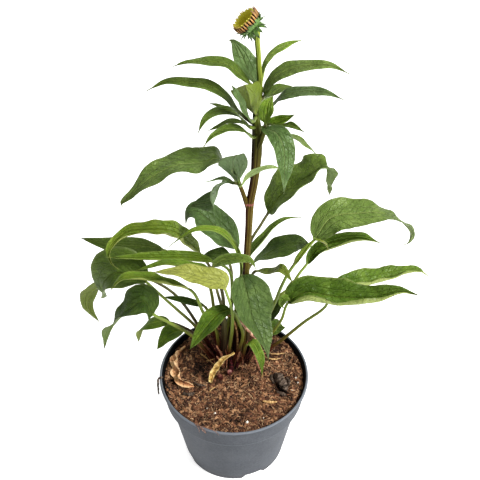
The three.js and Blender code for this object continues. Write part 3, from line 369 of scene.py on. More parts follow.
# the shape of a leaf or a stem: a skin that runs along a midrib
def leafShape(name, material):
    tree, put, given = newShape(name, {
        "Blade start": 0.5, "Half width": 0.01, "Widest": 0.36,
        "Base power": 0.68, "Tip power": 1.2, "Fold left": 0.1,
        "Fold right": 0.1, "Roll base": 0.0, "Roll tip": 0.0,
        "Curl left": 0.02, "Curl right": 0.02, "Curl from": 0.6,
        "Across": (1.0, 0.0, 0.0), "Wave height": 0.001, "Waves": 3.0,
        "Thickness": 0.0006, "Groove": 0.0005, "Pucker": 0.0004,
        "Pucker size": 0.012, "Ragged": 0.05, "Ridges": 5.0,
        "Ridge depth": 0.04, "Rows": 80, "Columns": 33, "Seed": 0.0})
    sheet = put("MeshGrid", 1.0, 1.0, given["Rows"], given["Columns"])
    spot = put("SeparateXYZ", put("InputPosition"))
    along = put("ADD", spot, 0.5)
    around = spot.outputs[1]  # -0.5 to 0.5, once round the skin
    midrib = put("MeshToCurve", given["Geometry"])
    stored = put("InputNamedAttribute", {"Name": "stalkRadius"})
    here = put("SampleCurve", {"Curves": midrib, "Value": stored, "Factor": along})
    radius, centre, heading = here.outputs["Value"], here.outputs["Position"], here.outputs["Tangent"]
    distance = put("MULTIPLY", along, put("CurveLength", midrib))
    share = put("MapRange", along, given["Blade start"], 1.0)

    # where a point lies across the blade: -1 left edge, 0 midrib, 1 right edge, on the top or below
    evenly = put("MULTIPLY_ADD", put("ABSOLUTE", around), -4.0, 1.0)
    across = put("MULTIPLY", evenly, put("POWER", put("ABSOLUTE", evenly), 0.35))
    acrossSize = put("ABSOLUTE", across)
    face = put("SIGN", put("MULTIPLY", around, -1.0))
    below = put("MapRange", face, -1.0, 1.0, 1.0, 0.0)
    isLeft = put("LESS_THAN", across, 0.0)

    # half the blade's width
    risen = put("POWER", put("MapRange", share, 0.0, given["Widest"], clamp=False), given["Base power"])
    fallen = put("POWER", put("MapRange", share, 1.0, given["Widest"], clamp=False), given["Tip power"])
    outline = put("MULTIPLY", risen, fallen)
    halfAcross = put("MULTIPLY", across, 0.5)  # the same above and below
    seedShift = put("MULTIPLY_ADD", given["Seed"], 3.7, halfAcross)
    edgePlace = put("CombineXYZ", distance, 0.0, seedShift)
    edgeNoise = put("TexNoise", {"Vector": edgePlace, "Scale": 90.0, "Detail": 2.0})
    high = put("ADD", 1.0, given["Ragged"])
    uneven = put("MapRange", edgeNoise, 0.25, 0.75, put("SUBTRACT", 1.0, given["Ragged"]), high, clamp=False)
    half = put("MULTIPLY", put("MULTIPLY", outline, given["Half width"]), uneven)

    reach = put("MULTIPLY", half, across)
    fold = put("MapRange", isLeft, 0.0, 1.0, given["Fold right"], given["Fold left"])
    foldCos = put("COSINE", fold)
    foldSin = put("SINE", fold)

    # each half is flat up to where its edge curls, then bends round in an arc
    curlMost = put("MapRange", isLeft, 0.0, 1.0, given["Curl right"], given["Curl left"])
    curlPlace = put("CombineXYZ", distance, 0.4, seedShift)
    curlNoise = put("TexNoise", {"Vector": curlPlace, "Scale": 26.0, "Detail": 1.0})
    curl = put("MULTIPLY", curlMost, put("MapRange", curlNoise, 0.3, 0.7, 0.7, 1.15))
    bendRate = put("DIVIDE", curl, put("SUBTRACT", 1.0, given["Curl from"]))
    straight = put("MINIMUM", acrossSize, given["Curl from"])
    bend = put("MULTIPLY", put("SUBTRACT", acrossSize, straight), bendRate)
    turned = put("ADD", bend, fold)
    sinRise = put("SUBTRACT", put("SINE", turned), foldSin)
    cosFall = put("SUBTRACT", foldCos, put("COSINE", turned))
    whichSide = put("SIGN", across)
    sideSize = put("MULTIPLY", half, put("MULTIPLY_ADD", straight, foldCos, put("DIVIDE", sinRise, bendRate)))
    lift = put("MULTIPLY", half, put("MULTIPLY_ADD", straight, foldSin, put("DIVIDE", cosFall, bendRate)))

    # edge waves, strongest at mid blade
    arch = put("SINE", put("MULTIPLY", share, math.pi))
    swell = put("MULTIPLY", put("SINE", put("MULTIPLY", share, put("MULTIPLY", given["Waves"], circle))), arch)
    skewed = put("MULTIPLY", put("MULTIPLY", across, across), put("MapRange", isLeft, 0.0, 1.0, -0.7, 1.0))
    wave = put("MULTIPLY", put("MULTIPLY", swell, given["Wave height"]), skewed)

    # thickness that thins to the edge, a rib below and a groove above
    inner = put("SUBTRACT", 1.0, put("POWER", acrossSize, 6.0))
    skinSize = put("MULTIPLY", put("MULTIPLY", put("MULTIPLY", given["Thickness"], 0.5), face), inner)
    skinBack = put("MULTIPLY", skinSize, put("SINE", bend))
    bladeSide = put("MULTIPLY", put("SUBTRACT", sideSize, skinBack), whichSide)
    fromRib = put("DIVIDE", reach, radius)
    fading = put("MULTIPLY", put("MULTIPLY", fromRib, fromRib), -1.0)
    ribDepth = put("MapRange", below, 0.0, 1.0, given["Groove"], radius)
    puckerPlace = put("CombineXYZ", reach, distance, given["Seed"])
    puckerScale = put("DIVIDE", 1.0, given["Pucker size"])
    puckerNoise = put("TexNoise", {"Vector": puckerPlace, "Scale": puckerScale, "Detail": 2.0})
    puckerLow = put("MULTIPLY", given["Pucker"], -1.0)
    pucker = put("MapRange", puckerNoise, 0.25, 0.75, puckerLow, given["Pucker"], clamp=False)
    folded = put("ADD", put("ADD", lift, wave), put("MULTIPLY", skinSize, put("COSINE", bend)))
    veined = put("SUBTRACT", folded, put("MULTIPLY", put("MULTIPLY", put("EXPONENT", fading), ribDepth), inner))
    bladeUp = put("ADD", veined, pucker)

    # the round stalk, with low ridges, and how far it has opened into the blade
    angle = put("MULTIPLY", around, circle)
    ridgeWave = put("COSINE", put("MULTIPLY", angle, given["Ridges"]))
    thick = put("MULTIPLY", radius, put("MULTIPLY_ADD", ridgeWave, given["Ridge depth"], 1.0))
    opened = put("MapRange SMOOTHSTEP", half, radius, put("MULTIPLY", radius, 3.0))
    sideWay = put("Mix", opened, put("MULTIPLY", thick, put("COSINE", angle)), bladeSide)
    upWay = put("Mix", opened, put("MULTIPLY", put("MULTIPLY", thick, put("SINE", angle)), -1.0), bladeUp)
    inside = put("LESS_THAN", put("ABSOLUTE", spot), 0.49999)

    # the directions across and above the blade
    crossing = put("VectorMath DOT_PRODUCT", given["Across"], heading)
    sloping = put("VectorMath SCALE", heading, {"Scale": crossing})
    level = put("VectorMath NORMALIZE", put("VectorMath SUBTRACT", given["Across"], sloping))
    rollBack = put("MULTIPLY", put("MapRange", share, 0.0, 1.0, given["Roll base"], given["Roll tip"]), -1.0)
    side = put("VectorRotate", {"Vector": level, "Axis": heading, "Angle": rollBack})
    upStep = put("VectorMath SCALE", put("VectorMath CROSS_PRODUCT", side, heading), {"Scale": upWay})
    step = put("VectorMath ADD", put("VectorMath SCALE", side, {"Scale": sideWay}), upStep)
    place = put("VectorMath ADD", centre, put("VectorMath SCALE", step, {"Scale": inside}))

    # what the material reads: place on the blade, size in mm, and a number for the whole leaf
    bladePlace = put("CombineXYZ", across, share, below)
    inMm = put("VectorMath SCALE", put("CombineXYZ", reach, distance, half), {"Scale": 1000.0})
    withPlace = put("StoreNamedAttribute FLOAT_VECTOR",
                    {"Geometry": sheet, "Name": "bladePlace", "Value": bladePlace})
    withSize = put("StoreNamedAttribute FLOAT_VECTOR", {"Geometry": withPlace, "Name": "bladeSize", "Value": inMm})
    tint = put("FRACT", put("MULTIPLY", given["Seed"], 0.618))
    withTint = put("StoreNamedAttribute", {"Geometry": withSize, "Name": "leafTint", "Value": tint})
    shaped = put("SetPosition", {"Geometry": withTint, "Position": place})
    sealed = put("MergeByDistance", {"Geometry": shaped, "Distance": 0.000002})
    gentle = put("Compare LESS_THAN", put("InputMeshEdgeAngle"), 1.0)
    outward = put("FlipFaces", put("SetShadeSmooth EDGE", {"Geometry": sealed, "Shade Smooth": gentle}))
    return closeShape(tree, outward, material)


def smoothPoints(points, steps):  # a centripetal Catmull-Rom curve through the points
    knots = [Vector(p) for p in points]
    knots = [knots[0] * 2 - knots[1]] + knots + [knots[-1] * 2 - knots[-2]]
    line = []
    for i in range(1, len(knots) - 2):
        a, b, c, d = knots[i - 1:i + 3]
        before, middle, after = [(q - p).length ** 0.5 for p, q in ((a, b), (b, c), (c, d))]
        leave = ((b - a) / before - (c - a) / (before + middle) + (c - b) / middle) * middle
        arrive = ((c - b) / middle - (d - b) / (middle + after) + (d - c) / after) * middle
        for k in range(steps):
            w = k / steps
            line.append(b + leave * w + (3 * (c - b) - 2 * leave - arrive) * w ** 2
                        + (2 * (b - c) + leave + arrive) * w ** 3)
    return line + [knots[-2]]


def midribMesh(points, radii):  # points in mm as a line of edges that carries the stalk's radius
    mesh = bpy.data.meshes.new("midrib")
    mesh.from_pydata([p * mm for p in points], [(i, i + 1) for i in range(len(points) - 1)], [])
    stored = mesh.attributes.new("stalkRadius", "FLOAT", "POINT")
    for item, radius in zip(stored.data, radii):
        item.value = radius * mm
    return mesh


def lengthsAlong(points):
    lengths = [0.0]
    for before, after in zip(points, points[1:]):
        lengths.append(lengths[-1] + (after - before).length)
    return lengths


def lerp(a, b, share):
    return a + (b - a) * share


# leaves
bladeForm = {
    "thickness": 0.6, "groove": 0.3, "widest": 0.36, "tipPower": 1.2, "waveShare": 0.055, "maxWave": 1.8,
    "waveLength": 34, "pucker": 0.45, "puckerSize": 13, "ragged": 0.05, "rowLength": 2.6,
    "curl": (8, 8), "curlFrom": 0.6, "stalk": [],
}
bladeTurns = {"fold": ("Fold left", "Fold right"), "curl": ("Curl left", "Curl right"),
              "roll": ("Roll base", "Roll tip")}
stalkForm = {"footRadius": 2.1, "topRadius": 1.55, "stemLeafRadius": 1.5, "ribBase": 1.35, "ribTip": 0.4,
             "kink": 122.2, "bottom": 110, "steps": 24,
             "cells": ((14, 5), (28, 8), (99, 11))}  # up to a width in mm, the cells across half a blade's face


def leafMesh(leaf, tree, seed):  # one leaf from its midrib points and turns
    form = {**bladeForm, **leaf}
    onSoil = "foot" in leaf
    start = (*leaf["foot"], stalkForm["kink"]) if onSoil else leaf["root"]
    line = smoothPoints([start, *form["stalk"], *form["blade"]], stalkForm["steps"])
    bladeIndex = (1 + len(form["stalk"])) * stalkForm["steps"]
    if onSoil:
        line.insert(0, Vector((*leaf["foot"], stalkForm["bottom"])))
        bladeIndex += 1
    lengths = lengthsAlong(line)
    total, bladeStart = lengths[-1], lengths[bladeIndex]
    radii = []
    for length in lengths:
        if length > bladeStart:
            radii.append(lerp(stalkForm["ribBase"], stalkForm["ribTip"], (length - bladeStart) / (total - bladeStart)))
        elif onSoil:
            radii.append(lerp(stalkForm["footRadius"], stalkForm["topRadius"], length / bladeStart))
        else:
            radii.append(stalkForm["stemLeafRadius"])
    chord = Vector(leaf["blade"][-1]) - Vector(leaf["blade"][0])
    width, widest = form["width"], form["widest"]
    cells = next(count for limit, count in stalkForm["cells"] if width < limit)
    turns = {label: math.radians(value) for key in bladeTurns for label, value in zip(bladeTurns[key], form[key])}
    return growMesh(tree, midribMesh(line, radii), {
        **turns, "Blade start": bladeStart / total, "Half width": width / 2 * mm, "Widest": widest,
        "Base power": form["tipPower"] * widest / (1 - widest), "Tip power": form["tipPower"],
        "Curl from": form["curlFrom"], "Across": Vector((chord.y, -chord.x, 0)).normalized(),
        "Wave height": min(width * form["waveShare"], form["maxWave"]) * mm,
        "Waves": float(max(2, round((total - bladeStart) / form["waveLength"]))),
        "Thickness": form["thickness"] * mm, "Groove": form["groove"] * mm, "Pucker": form["pucker"] * mm,
        "Pucker size": form["puckerSize"] * mm, "Ragged": form["ragged"], "Ridges": 4.0, "Ridge depth": 0.05,
        "Rows": round(total / form["rowLength"]), "Columns": 4 * cells + 1, "Seed": seed})


def stemMesh(path, radii, tree, sides=24, rowLength=2.5):  # a round stem by the same skin, with no blade
    steps = 8
    line = smoothPoints(path, steps)
    wide = [lerp(radii[i // steps], radii[min(i // steps + 1, len(radii) - 1)], i % steps / steps)
            for i in range(len(line))]
    total = lengthsAlong(line)[-1]
    return growMesh(tree, midribMesh(line, wide), {
        "Blade start": 1.0, "Half width": 0.0, "Widest": 0.5, "Across": Vector((0, 1, 0)), "Ridges": 7.0,
        "Ridge depth": 0.07, "Rows": max(8, round(total / rowLength)), "Columns": sides + 1, "Seed": 0.5})


leafParts = ("foot", "tone", "width", "roll", "fold", "stalk", "blade")
basalLeaves = [  # node, its parts in mm and degrees, and what is its own
    ("leaf_right_high", (6, 44), "mid", 47, (-35, 15), (10, 28), [(18, 58, 276), (29, 64, 297)],
     [(37, 68, 311), (52, 68, 340), (78, 70, 361), (95, 70, 376), (98, 70, 354), (102, 72, 332)],
     {"waveShare": 0.09, "maxWave": 4.0, "waveLength": 34, "pucker": 1.0, "curl": (15, 25)}),
    ("leaf_right_arching", (16, 30), "soft", 37, (-55, 55), (5, 0),
     [(45, 35, 203), (52, 37, 228), (61, 40, 251), (74, 44, 272)],
     [(87, 48, 292), (104, 53, 319), (129, 58, 320), (158, 66, 313), (185, 72, 293), (196, 75, 273), (194, 76, 259),
      (186, 77, 253)], {"widest": 0.28, "pucker": 0.7, "curl": (10, 35), "tipPower": 1.35}),
    ("leaf_right_dark", (13, 44), "dark", 29, (45, -70), (5, -5), [(17, 70, 197), (15, 76, 211)],
     [(22, 83, 221), (35, 91, 223), (51, 100, 227), (71, 112, 224), (93, 123, 206)], {}),
    ("leaf_right_behind", (18, 44), "deep", 24, (-60, -10), (45, 15), [(53, 64, 186), (63, 70, 191), (75, 81, 205)],
     [(83, 88, 212), (95, 94, 232), (119, 102, 236), (144, 108, 235), (171, 116, 219)],
     {"curl": (5, 120), "curlFrom": 0.3}),
    ("leaf_right_slim", (0, 42), "mid", 12, (-20, -15), (0, 5), [(5, 42, 226)],
     [(11, 42, 246), (17, 44, 272), (33, 51, 292), (42, 58, 300), (55, 64, 306), (75, 72, 301)],
     {"curl": (15, 110), "curlFrom": 0.2}),
    ("leaf_right_small", (15, 36), "olive", 15, (20, -30), (5, 10), [(18, 36, 208), (18, 37, 240)],
     [(24, 37, 254), (40, 30, 260), (51, 25, 270), (64, 17, 256)], {}),
    ("leaf_right_long", (22, 28), "deep", 42, (-25, -15), (35, 0), [(41, 24, 163), (53, 20, 194)],
     [(60, 17, 226), (78, 15, 243), (112, 12, 240), (152, 9, 243), (177, 7, 254), (200, 6, 248)],
     {"widest": 0.3, "waveShare": 0.12, "maxWave": 3.8, "waveLength": 48, "pucker": 0.9, "curl": (15, 165),
      "curlFrom": 0.3}),
    ("leaf_right_low", (42, 40), "deep", 30, (-15, -15), (10, 10), [(55, 40, 136), (80, 41, 166), (103, 42, 191)],
     [(110, 44, 216), (127, 49, 220), (163, 62, 215), (196, 73, 216), (210, 78, 212), (226, 83, 197)],
     {"widest": 0.3, "waveShare": 0.08, "maxWave": 2.0, "waveLength": 34, "pucker": 0.7, "curl": (15, 125),
      "curlFrom": 0.12}),
    ("leaf_right_inner", (21, 36), "dark", 21, (-20, -30), (15, 20), [(28, 38, 148)],
     [(36, 42, 167), (43, 44, 177), (58, 44, 206)], {}),
    ("leaf_right_rim", (25, 41), "bright", 22, (-55, -20), (30, 20), [(28, 43, 132)],
     [(33, 47, 138), (40, 54, 141), (61, 66, 128)], {"curl": (10, 30)}),
    ("leaf_front_broad", (4, 24), "cool", 53, (-10, 35), (12, 28), [(11, 24, 171), (10, 25, 221)],
     [(9, 25, 259), (14, 12, 247), (20, -6, 228), (31, -24, 211), (38, -40, 195)],
     {"widest": 0.3, "pucker": 0.6, "curl": (25, 20)}),
    ("leaf_front_short", (4, 16), "bright", 12, (-5, 25), (15, -10), [(10, 13, 139)],
     [(14, 8, 164), (20, 5, 174), (30, -4, 157), (32, -14, 134)], {}),
    ("leaf_front_left", (-2, 16), "bright", 23, (5, 5), (5, 30), [(10, 11, 175), (7, 8, 198)],
     [(-3, 4, 227), (-16, -2, 228), (-32, -12, 214), (-48, -24, 194)], {}),
    ("leaf_front_arch", (-10, 26), "mid", 12, (-65, -20), (10, -5), [(-10, 20, 193), (-18, 15, 248)],
     [(-22, 8, 289), (-11, 6, 302), (7, 3, 308), (18, 1, 307), (24, -1, 294)], {}),
    ("leaf_yellow", (-8, 20), "yellow", 25, (25, 0), (0, 10), [(-2, 4, 194), (-2, -8, 243)],
     [(-8, -9, 272), (-10, -9, 286), (-28, -10, 292), (-49, -10, 300), (-83, -11, 302)],
     {"waveShare": 0.07, "pucker": 0.8, "curl": (45, 10), "slot": "leaf_yellow"}),
    ("leaf_left_curled", (-14, 46), "lime", 24, (55, 10), (-5, 40), [(-14, 75, 183)],
     [(-39, 115, 202), (-52, 105, 230), (-69, 92, 261), (-94, 73, 282), (-116, 62, 288), (-134, 49, 277),
      (-133, 44, 260), (-124, 39, 253)],
     {"waveShare": 0.12, "maxWave": 2.6, "waveLength": 26, "curl": (125, 10), "curlFrom": 0.3, "slot": "leaf_pale"}),
    ("leaf_left_pointed", (-20, 48), "mid", 24, (5, 40), (-15, -10), [(-34, 89, 194)],
     [(-83, 124, 200), (-108, 124, 207), (-146, 123, 211), (-180, 123, 221)], {"curl": (40, 10)}),
    ("leaf_left_round", (-24, 34), "mid", 58, (0, 55), (20, 30), [(-44, 34, 167), (-63, 35, 193), (-81, 35, 218)],
     [(-96, 36, 238), (-106, 38, 246), (-129, 41, 247), (-144, 45, 227), (-144, 49, 199)],
     {"widest": 0.4, "pucker": 0.9, "curl": (30, 10)}),
    ("leaf_left_hanging", (-26, 42), "matt", 23, (-5, -70), (20, -10), [(-72, 54, 205)],
     [(-122, 68, 219), (-144, 72, 202), (-165, 75, 181), (-172, 76, 154), (-161, 80, 121)],
     {"curl": (30, 40), "slot": "leaf_pale"}),
    ("leaf_left_band", (-18, 26), "lime", 16, (-25, 45), (0, 5), [(-20, 21, 175), (-33, 15, 210)],
     [(-46, 7, 256), (-72, 6, 269), (-96, 6, 277), (-116, 6, 276), (-132, 6, 255)],
     {"waveShare": 0.1, "maxWave": 2.4, "waveLength": 28, "curl": (120, 10), "curlFrom": 0.25, "slot": "leaf_pale"}),
    ("leaf_left_upper", (-12, 40), "bright", 16, (25, 20), (10, 25), [(-2, 46, 213), (-6, 51, 242)],
     [(-21, 54, 250), (-44, 48, 263), (-71, 41, 271), (-98, 36, 276), (-136, 30, 282)],
     {"curl": (110, 10), "curlFrom": 0.35}),
    ("leaf_left_middle", (-14, 32), "bright", 15, (-15, 10), (25, 15), [(-11, 30, 199), (-15, 28, 242)],
     [(-25, 26, 269), (-47, 24, 274), (-72, 23, 279), (-105, 20, 272)], {"curl": (60, 10)}),
    ("leaf_back_blue", (-4, 50), "blue", 42, (5, 25), (8, 14), [(10, 70, 188), (9, 79, 222)],
     [(5, 84, 241), (-3, 88, 251), (-17, 94, 263), (-31, 100, 274), (-42, 103, 282), (-50, 102, 279),
      (-54, 98, 265)], {"widest": 0.4}),
    ("leaf_back_small", (-8, 44), "dark", 29, (-40, 10), (10, 40), [(-2, 60, 199)],
     [(-6, 76, 228), (-20, 83, 228), (-36, 91, 223)], {}),
    ("leaf_left_drooping", (-25, 24), "dark", 37, (55, -75), (25, 10), [(-48, 17, 171), (-73, 9, 203)],
     [(-88, 3, 223), (-96, 1, 245), (-114, -1, 232), (-135, -4, 204), (-144, -7, 174)],
     {"widest": 0.25, "pucker": 0.9, "curl": (35, 35), "waveShare": 0.08, "maxWave": 2.6}),
    ("leaf_left_slim", (-19, 40), "dark", 11, (60, 30), (10, 50), [(-25, 41, 152)],
     [(-33, 45, 188), (-55, 48, 197), (-82, 49, 200)], {}),
    ("leaf_left_low", (-30, 37), "bright", 17, (60, -70), (5, -20), [(-46, 46, 140)],
     [(-73, 44, 162), (-86, 44, 164), (-107, 44, 153), (-112, 44, 127)], {}),
    ("leaf_left_rim", (-29, 30), "bright", 23, (5, 10), (20, 10), [(-43, 33, 148)],
     [(-58, 36, 157), (-72, 29, 160), (-88, 18, 145)], {}),
]

stemLeafParts = ("tone", "width", "roll", "fold", "blade")
stemLeaves = [  # what it grows on, height, tone, width, roll, fold, blade, and what is its own
    ("stem", 507, "mid", 14, (15, 5), (5, 15),
     [(18, 24, 511), (5, 23, 525), (-6, 22, 536), (-25, 21, 539), (-41, 20, 539), (-55, 20, 534)],
     {"curl": (40, 10)}),
    ("stem", 497, "blue", 25, (-50, 55), (5, 15),
     [(23, 40, 496), (14, 54, 508), (7, 64, 520), (0, 70, 528), (-4, 73, 527)], {}),
    ("stem", 464, "mid", 12, (-20, 70), (0, 5),
     [(15, 28, 467), (5, 30, 476), (-6, 31, 493), (-23, 33, 505), (-40, 34, 507), (-60, 36, 507), (-82, 40, 492)],
     {}),
    ("stem", 463, "mid", 13, (-15, 50), (10, 0),
     [(17, 16, 468), (4, 11, 488), (-7, 6, 496), (-19, 0, 497), (-26, -4, 492), (-32, -8, 479)], {}),
    ("stem", 466, "mid", 9, (-65, 25), (5, 5), [(16, 27, 469), (3, 42, 469), (-12, 56, 463), (-25, 67, 459)], {}),
    ("stem", 457, "mid", 9, (-45, 20), (0, 15),
     [(20, 25, 461), (6, 24, 469), (-4, 23, 470), (-17, 22, 463), (-25, 22, 459)], {}),
    ("stem", 453, "mid", 11, (-20, 25), (0, 30),
     [(19, 14, 458), (10, 6, 473), (-5, -7, 485), (-11, -12, 486), (-19, -18, 485), (-27, -29, 480)], {}),
    ("stem", 479, "matt", 42, (-35, -45), (38, 50), [(21, 17, 484), (17, 11, 497), (14, 0, 521), (11, -5, 533)], {}),
    ("stem", 476, "blue", 12, (-15, 60), (-30, 30),
     [(18, 0, 488), (13, -4, 501), (7, -7, 518), (4, -10, 526), (-1, -13, 540)], {}),
    ("branch", 475, "bright", 17, (50, -45), (20, 15), [(30, -7, 490), (31, -2, 499), (32, 2, 506), (37, 8, 511)],
     {}),
    ("branch", 470, "bright", 13, (10, -30), (55, 20), [(32, 11, 475), (43, 11, 479), (51, 11, 483), (58, 11, 488)],
     {}),
    ("branch", 471, "mid", 9, (60, -65), (5, 0), [(33, 10, 477), (43, 2, 483), (54, -8, 490), (66, -18, 489)], {}),
    ("branch", 467, "mid", 21, (25, -25), (-20, 15),
     [(32, 2, 476), (44, 2, 472), (60, 4, 465), (72, 4, 455), (79, 6, 444)], {}),
    ("branch", 472, "blue", 24, (-20, 40), (-5, 10),
     [(28, -2, 482), (40, -15, 486), (46, -26, 479), (47, -39, 470), (46, -64, 455)], {"curl": (20, 35)}),
    ("stem", 513, "bright", 11, (55, -40), (-5, -5),
     [(27, 28, 516), (30, 40, 524), (37, 51, 528), (53, 65, 529), (66, 75, 526)], {}),
    ("stem", 492, "soft", 15, (-25, -20), (20, 5),
     [(28, 25, 496), (32, 24, 508), (40, 23, 522), (52, 21, 531), (73, 17, 538), (89, 16, 538), (106, 11, 532)], {}),
    ("stem", 482, "mid", 16, (55, -45), (0, 10), [(25, 33, 484), (36, 48, 481), (45, 59, 482), (58, 72, 475)], {}),
    ("stem", 475, "blue", 15, (20, -30), (15, -5),
     [(28, 21, 479), (37, 19, 492), (45, 16, 504), (61, 11, 513), (82, 4, 518), (101, -4, 515)], {}),
    ("shoot", 396, "blue", 31, (0, -25), (25, 20), [(5, 17, 400), (4, 11, 414), (0, -4, 444), (4, -12, 459)],
     {"widest": 0.5}),
    ("shoot", 390, "soft", 39, (-15, 15), (10, 10),
     [(6, 22, 393), (-6, 20, 414), (-15, 16, 431), (-30, 13, 428), (-54, 6, 430), (-80, -4, 422), (-96, -8, 406),
      (-108, -12, 397), (-104, -13, 392)],
     {"waveShare": 0.1, "maxWave": 3.4, "waveLength": 38, "pucker": 0.8, "curl": (30, 20)}),
    ("shoot", 396, "blue", 8, (20, -80), (-20, 40), [(3, 13, 401), (-4, 8, 409), (-11, 2, 417), (-27, -10, 423)], {}),
    ("shoot", 388, "blue", 35, (-55, 65), (0, -5),
     [(5, 25, 390), (-8, 28, 390), (-15, 30, 381), (-19, 33, 364), (-45, 38, 348)], {}),
    ("shoot", 398, "mid", 11, (-10, 90), (-35, 10),
     [(7, 4, 406), (15, 2, 422), (23, 0, 430), (34, -2, 436), (48, -4, 434)], {}),
]


def camelName(node):
    first, *rest = node.split("_")
    return first + "".join(word.capitalize() for word in rest)


leafTrees = {tone: leafShape("leafSkin" + tone.capitalize(), livingLeaf(tone)) for tone in leafTones}
for index, (node, *parts, own) in enumerate(basalLeaves):
    leaf = {**dict(zip(leafParts, parts)), **own}
    piece = showPiece(camelName(node), leafMesh(leaf, leafTrees[leaf["tone"]], index + 1.0))
    standFor(piece, leaf.get("slot", "leaf"), node)
print("basal leaves:", len(basalLeaves))

# small blades: a narrow one over the left side, and turned lobes at the feet of two long leaves
smallBlades = [
    {"foot": (2, 38), "tone": "lime", "width": 8.5, "roll": (35, 10), "fold": (0, 5),
     "stalk": [(6, 37, 180), (7, 36, 236)],
     "blade": [(8, 35, 261), (2, 32, 296), (-15, 26, 326), (-39, 20, 333), (-60, 17, 318), (-71, 16, 307)]},
    {"root": (62, 40, 252), "tone": "lime", "width": 7, "roll": (-35, -20), "fold": (5, 10),
     "blade": [(64, 41, 257), (69, 42, 267), (76, 44, 279), (84, 46, 290), (90, 47, 294)]},
    {"root": (86, 47, 291), "tone": "yellowgreen", "width": 8, "roll": (20, 30), "fold": (5, 10),
     "blade": [(89, 46, 293), (95, 44, 292), (100, 43, 286), (102, 42, 278)]},
    {"root": (60, 18, 222), "tone": "deep", "width": 10, "roll": (20, 45), "fold": (10, 15),
     "blade": [(61, 17, 229), (57, 16, 234), (53, 15, 231), (52, 15, 223), (56, 14, 218)]},
]
meshes = [leafMesh({"waveShare": 0.06, "curl": (20, 20), **blade}, leafTrees[blade["tone"]], index + 81.0)
          for index, blade in enumerate(smallBlades)]
standFor(joinMeshes("smallBlades", meshes), "leaf_pale")

# flowering stem, its side shoot and its branch (mm)
stems = {
    "stem": {
        "path": [(9, 36, 112), (9, 36, 123), (11, 34, 178), (13, 32, 229), (14, 30, 278), (16, 28, 331),
                 (17, 27, 363), (21, 26, 395), (23, 25, 430), (23, 24, 459), (22, 23, 478), (23, 22, 499),
                 (25, 22, 515), (24, 21, 534), (23, 21, 551), (22, 20.7, 563), (21.7, 20.5, 572),
                 (19.8, 20.7, 574)],
        "radii": [4.2, 4.2, 3.8, 3.6, 3.5, 3.6, 4.1, 4.1, 5.0, 4.6, 3.2, 2.8, 2.5, 2.4, 2.3, 2.4, 2.6, 2.8]},
    "shoot": {"path": [(16, 27.5, 352), (14, 26, 362), (11, 24, 375), (7, 22, 391), (5, 21, 400)],
              "radii": [2.6, 2.6, 2.2, 2.0, 1.6]},
    "branch": {"path": [(22.5, 25.5, 424), (24, 23, 437), (27, 19, 452), (30, 14, 469), (31, 11, 479)],
               "radii": [2.6, 2.8, 2.6, 2.3, 1.6]},
}
stemTree = leafShape("stemSkin", stemMaterial())
stemPiece = joinMeshes("floweringStem", [stemMesh(stem["path"], stem["radii"], stemTree) for stem in stems.values()])
standFor(stemPiece, "stem", "flowering_stem")


def axisAt(stem, height):  # the point of a stem's axis at a height
    return min(smoothPoints(stems[stem]["path"], stalkForm["steps"]), key=lambda p: abs(p.z - height))


meshes = []
for index, (on, at, *parts, own) in enumerate(stemLeaves):
    leaf = {**dict(zip(stemLeafParts, parts)), **own, "root": axisAt(on, at)}
    meshes.append(leafMesh(leaf, leafTrees[leaf["tone"]], index + 41.0))
stemLeafPiece = joinMeshes("stemLeaves", meshes)
standFor(stemLeafPiece, "leaf", "flowering_stem")
print("stem leaves:", len(stemLeaves))

# pot (mm)
pot = {
    "height": 125, "rimRadius": 85,
    "lip": [(-0.9, -4.6), (-0.3, -4.2), (0.0, -3.4), (0.0, -2.2), (-0.35, -0.9), (-1.1, -0.1), (-1.9, 0.0),
            (-2.6, -0.5), (-2.9, -1.4)],
    "collarTop": 120, "collarTopRadius": 82.4, "collarRadius": 79.9, "collarBottom": 95, "bodyTopRadius": 75.5,
    "baseRadius": 59, "wall": 1.8, "floor": 3, "footHeight": 3, "padRadius": 14, "segments": 192,
    "notches": 4, "notchTurn": 0.25, "notchWidth": 29, "footLine": 7.2, "notchTopWidth": 18, "notchHeight": 7.5,
    "notchDepth": 16,
}
potMarks = {"lipHighlightFrom": 122.6, "lipHighlightTo": 123.8, "collarLine": 95.8, "groove": 119.8, "ringStep": 47.5}
plasticColours = {"body": "#484b50", "worn": "#56595e", "dust": "#5c5b59", "paintedLight": "#7e838a", "inside": "#141619"}


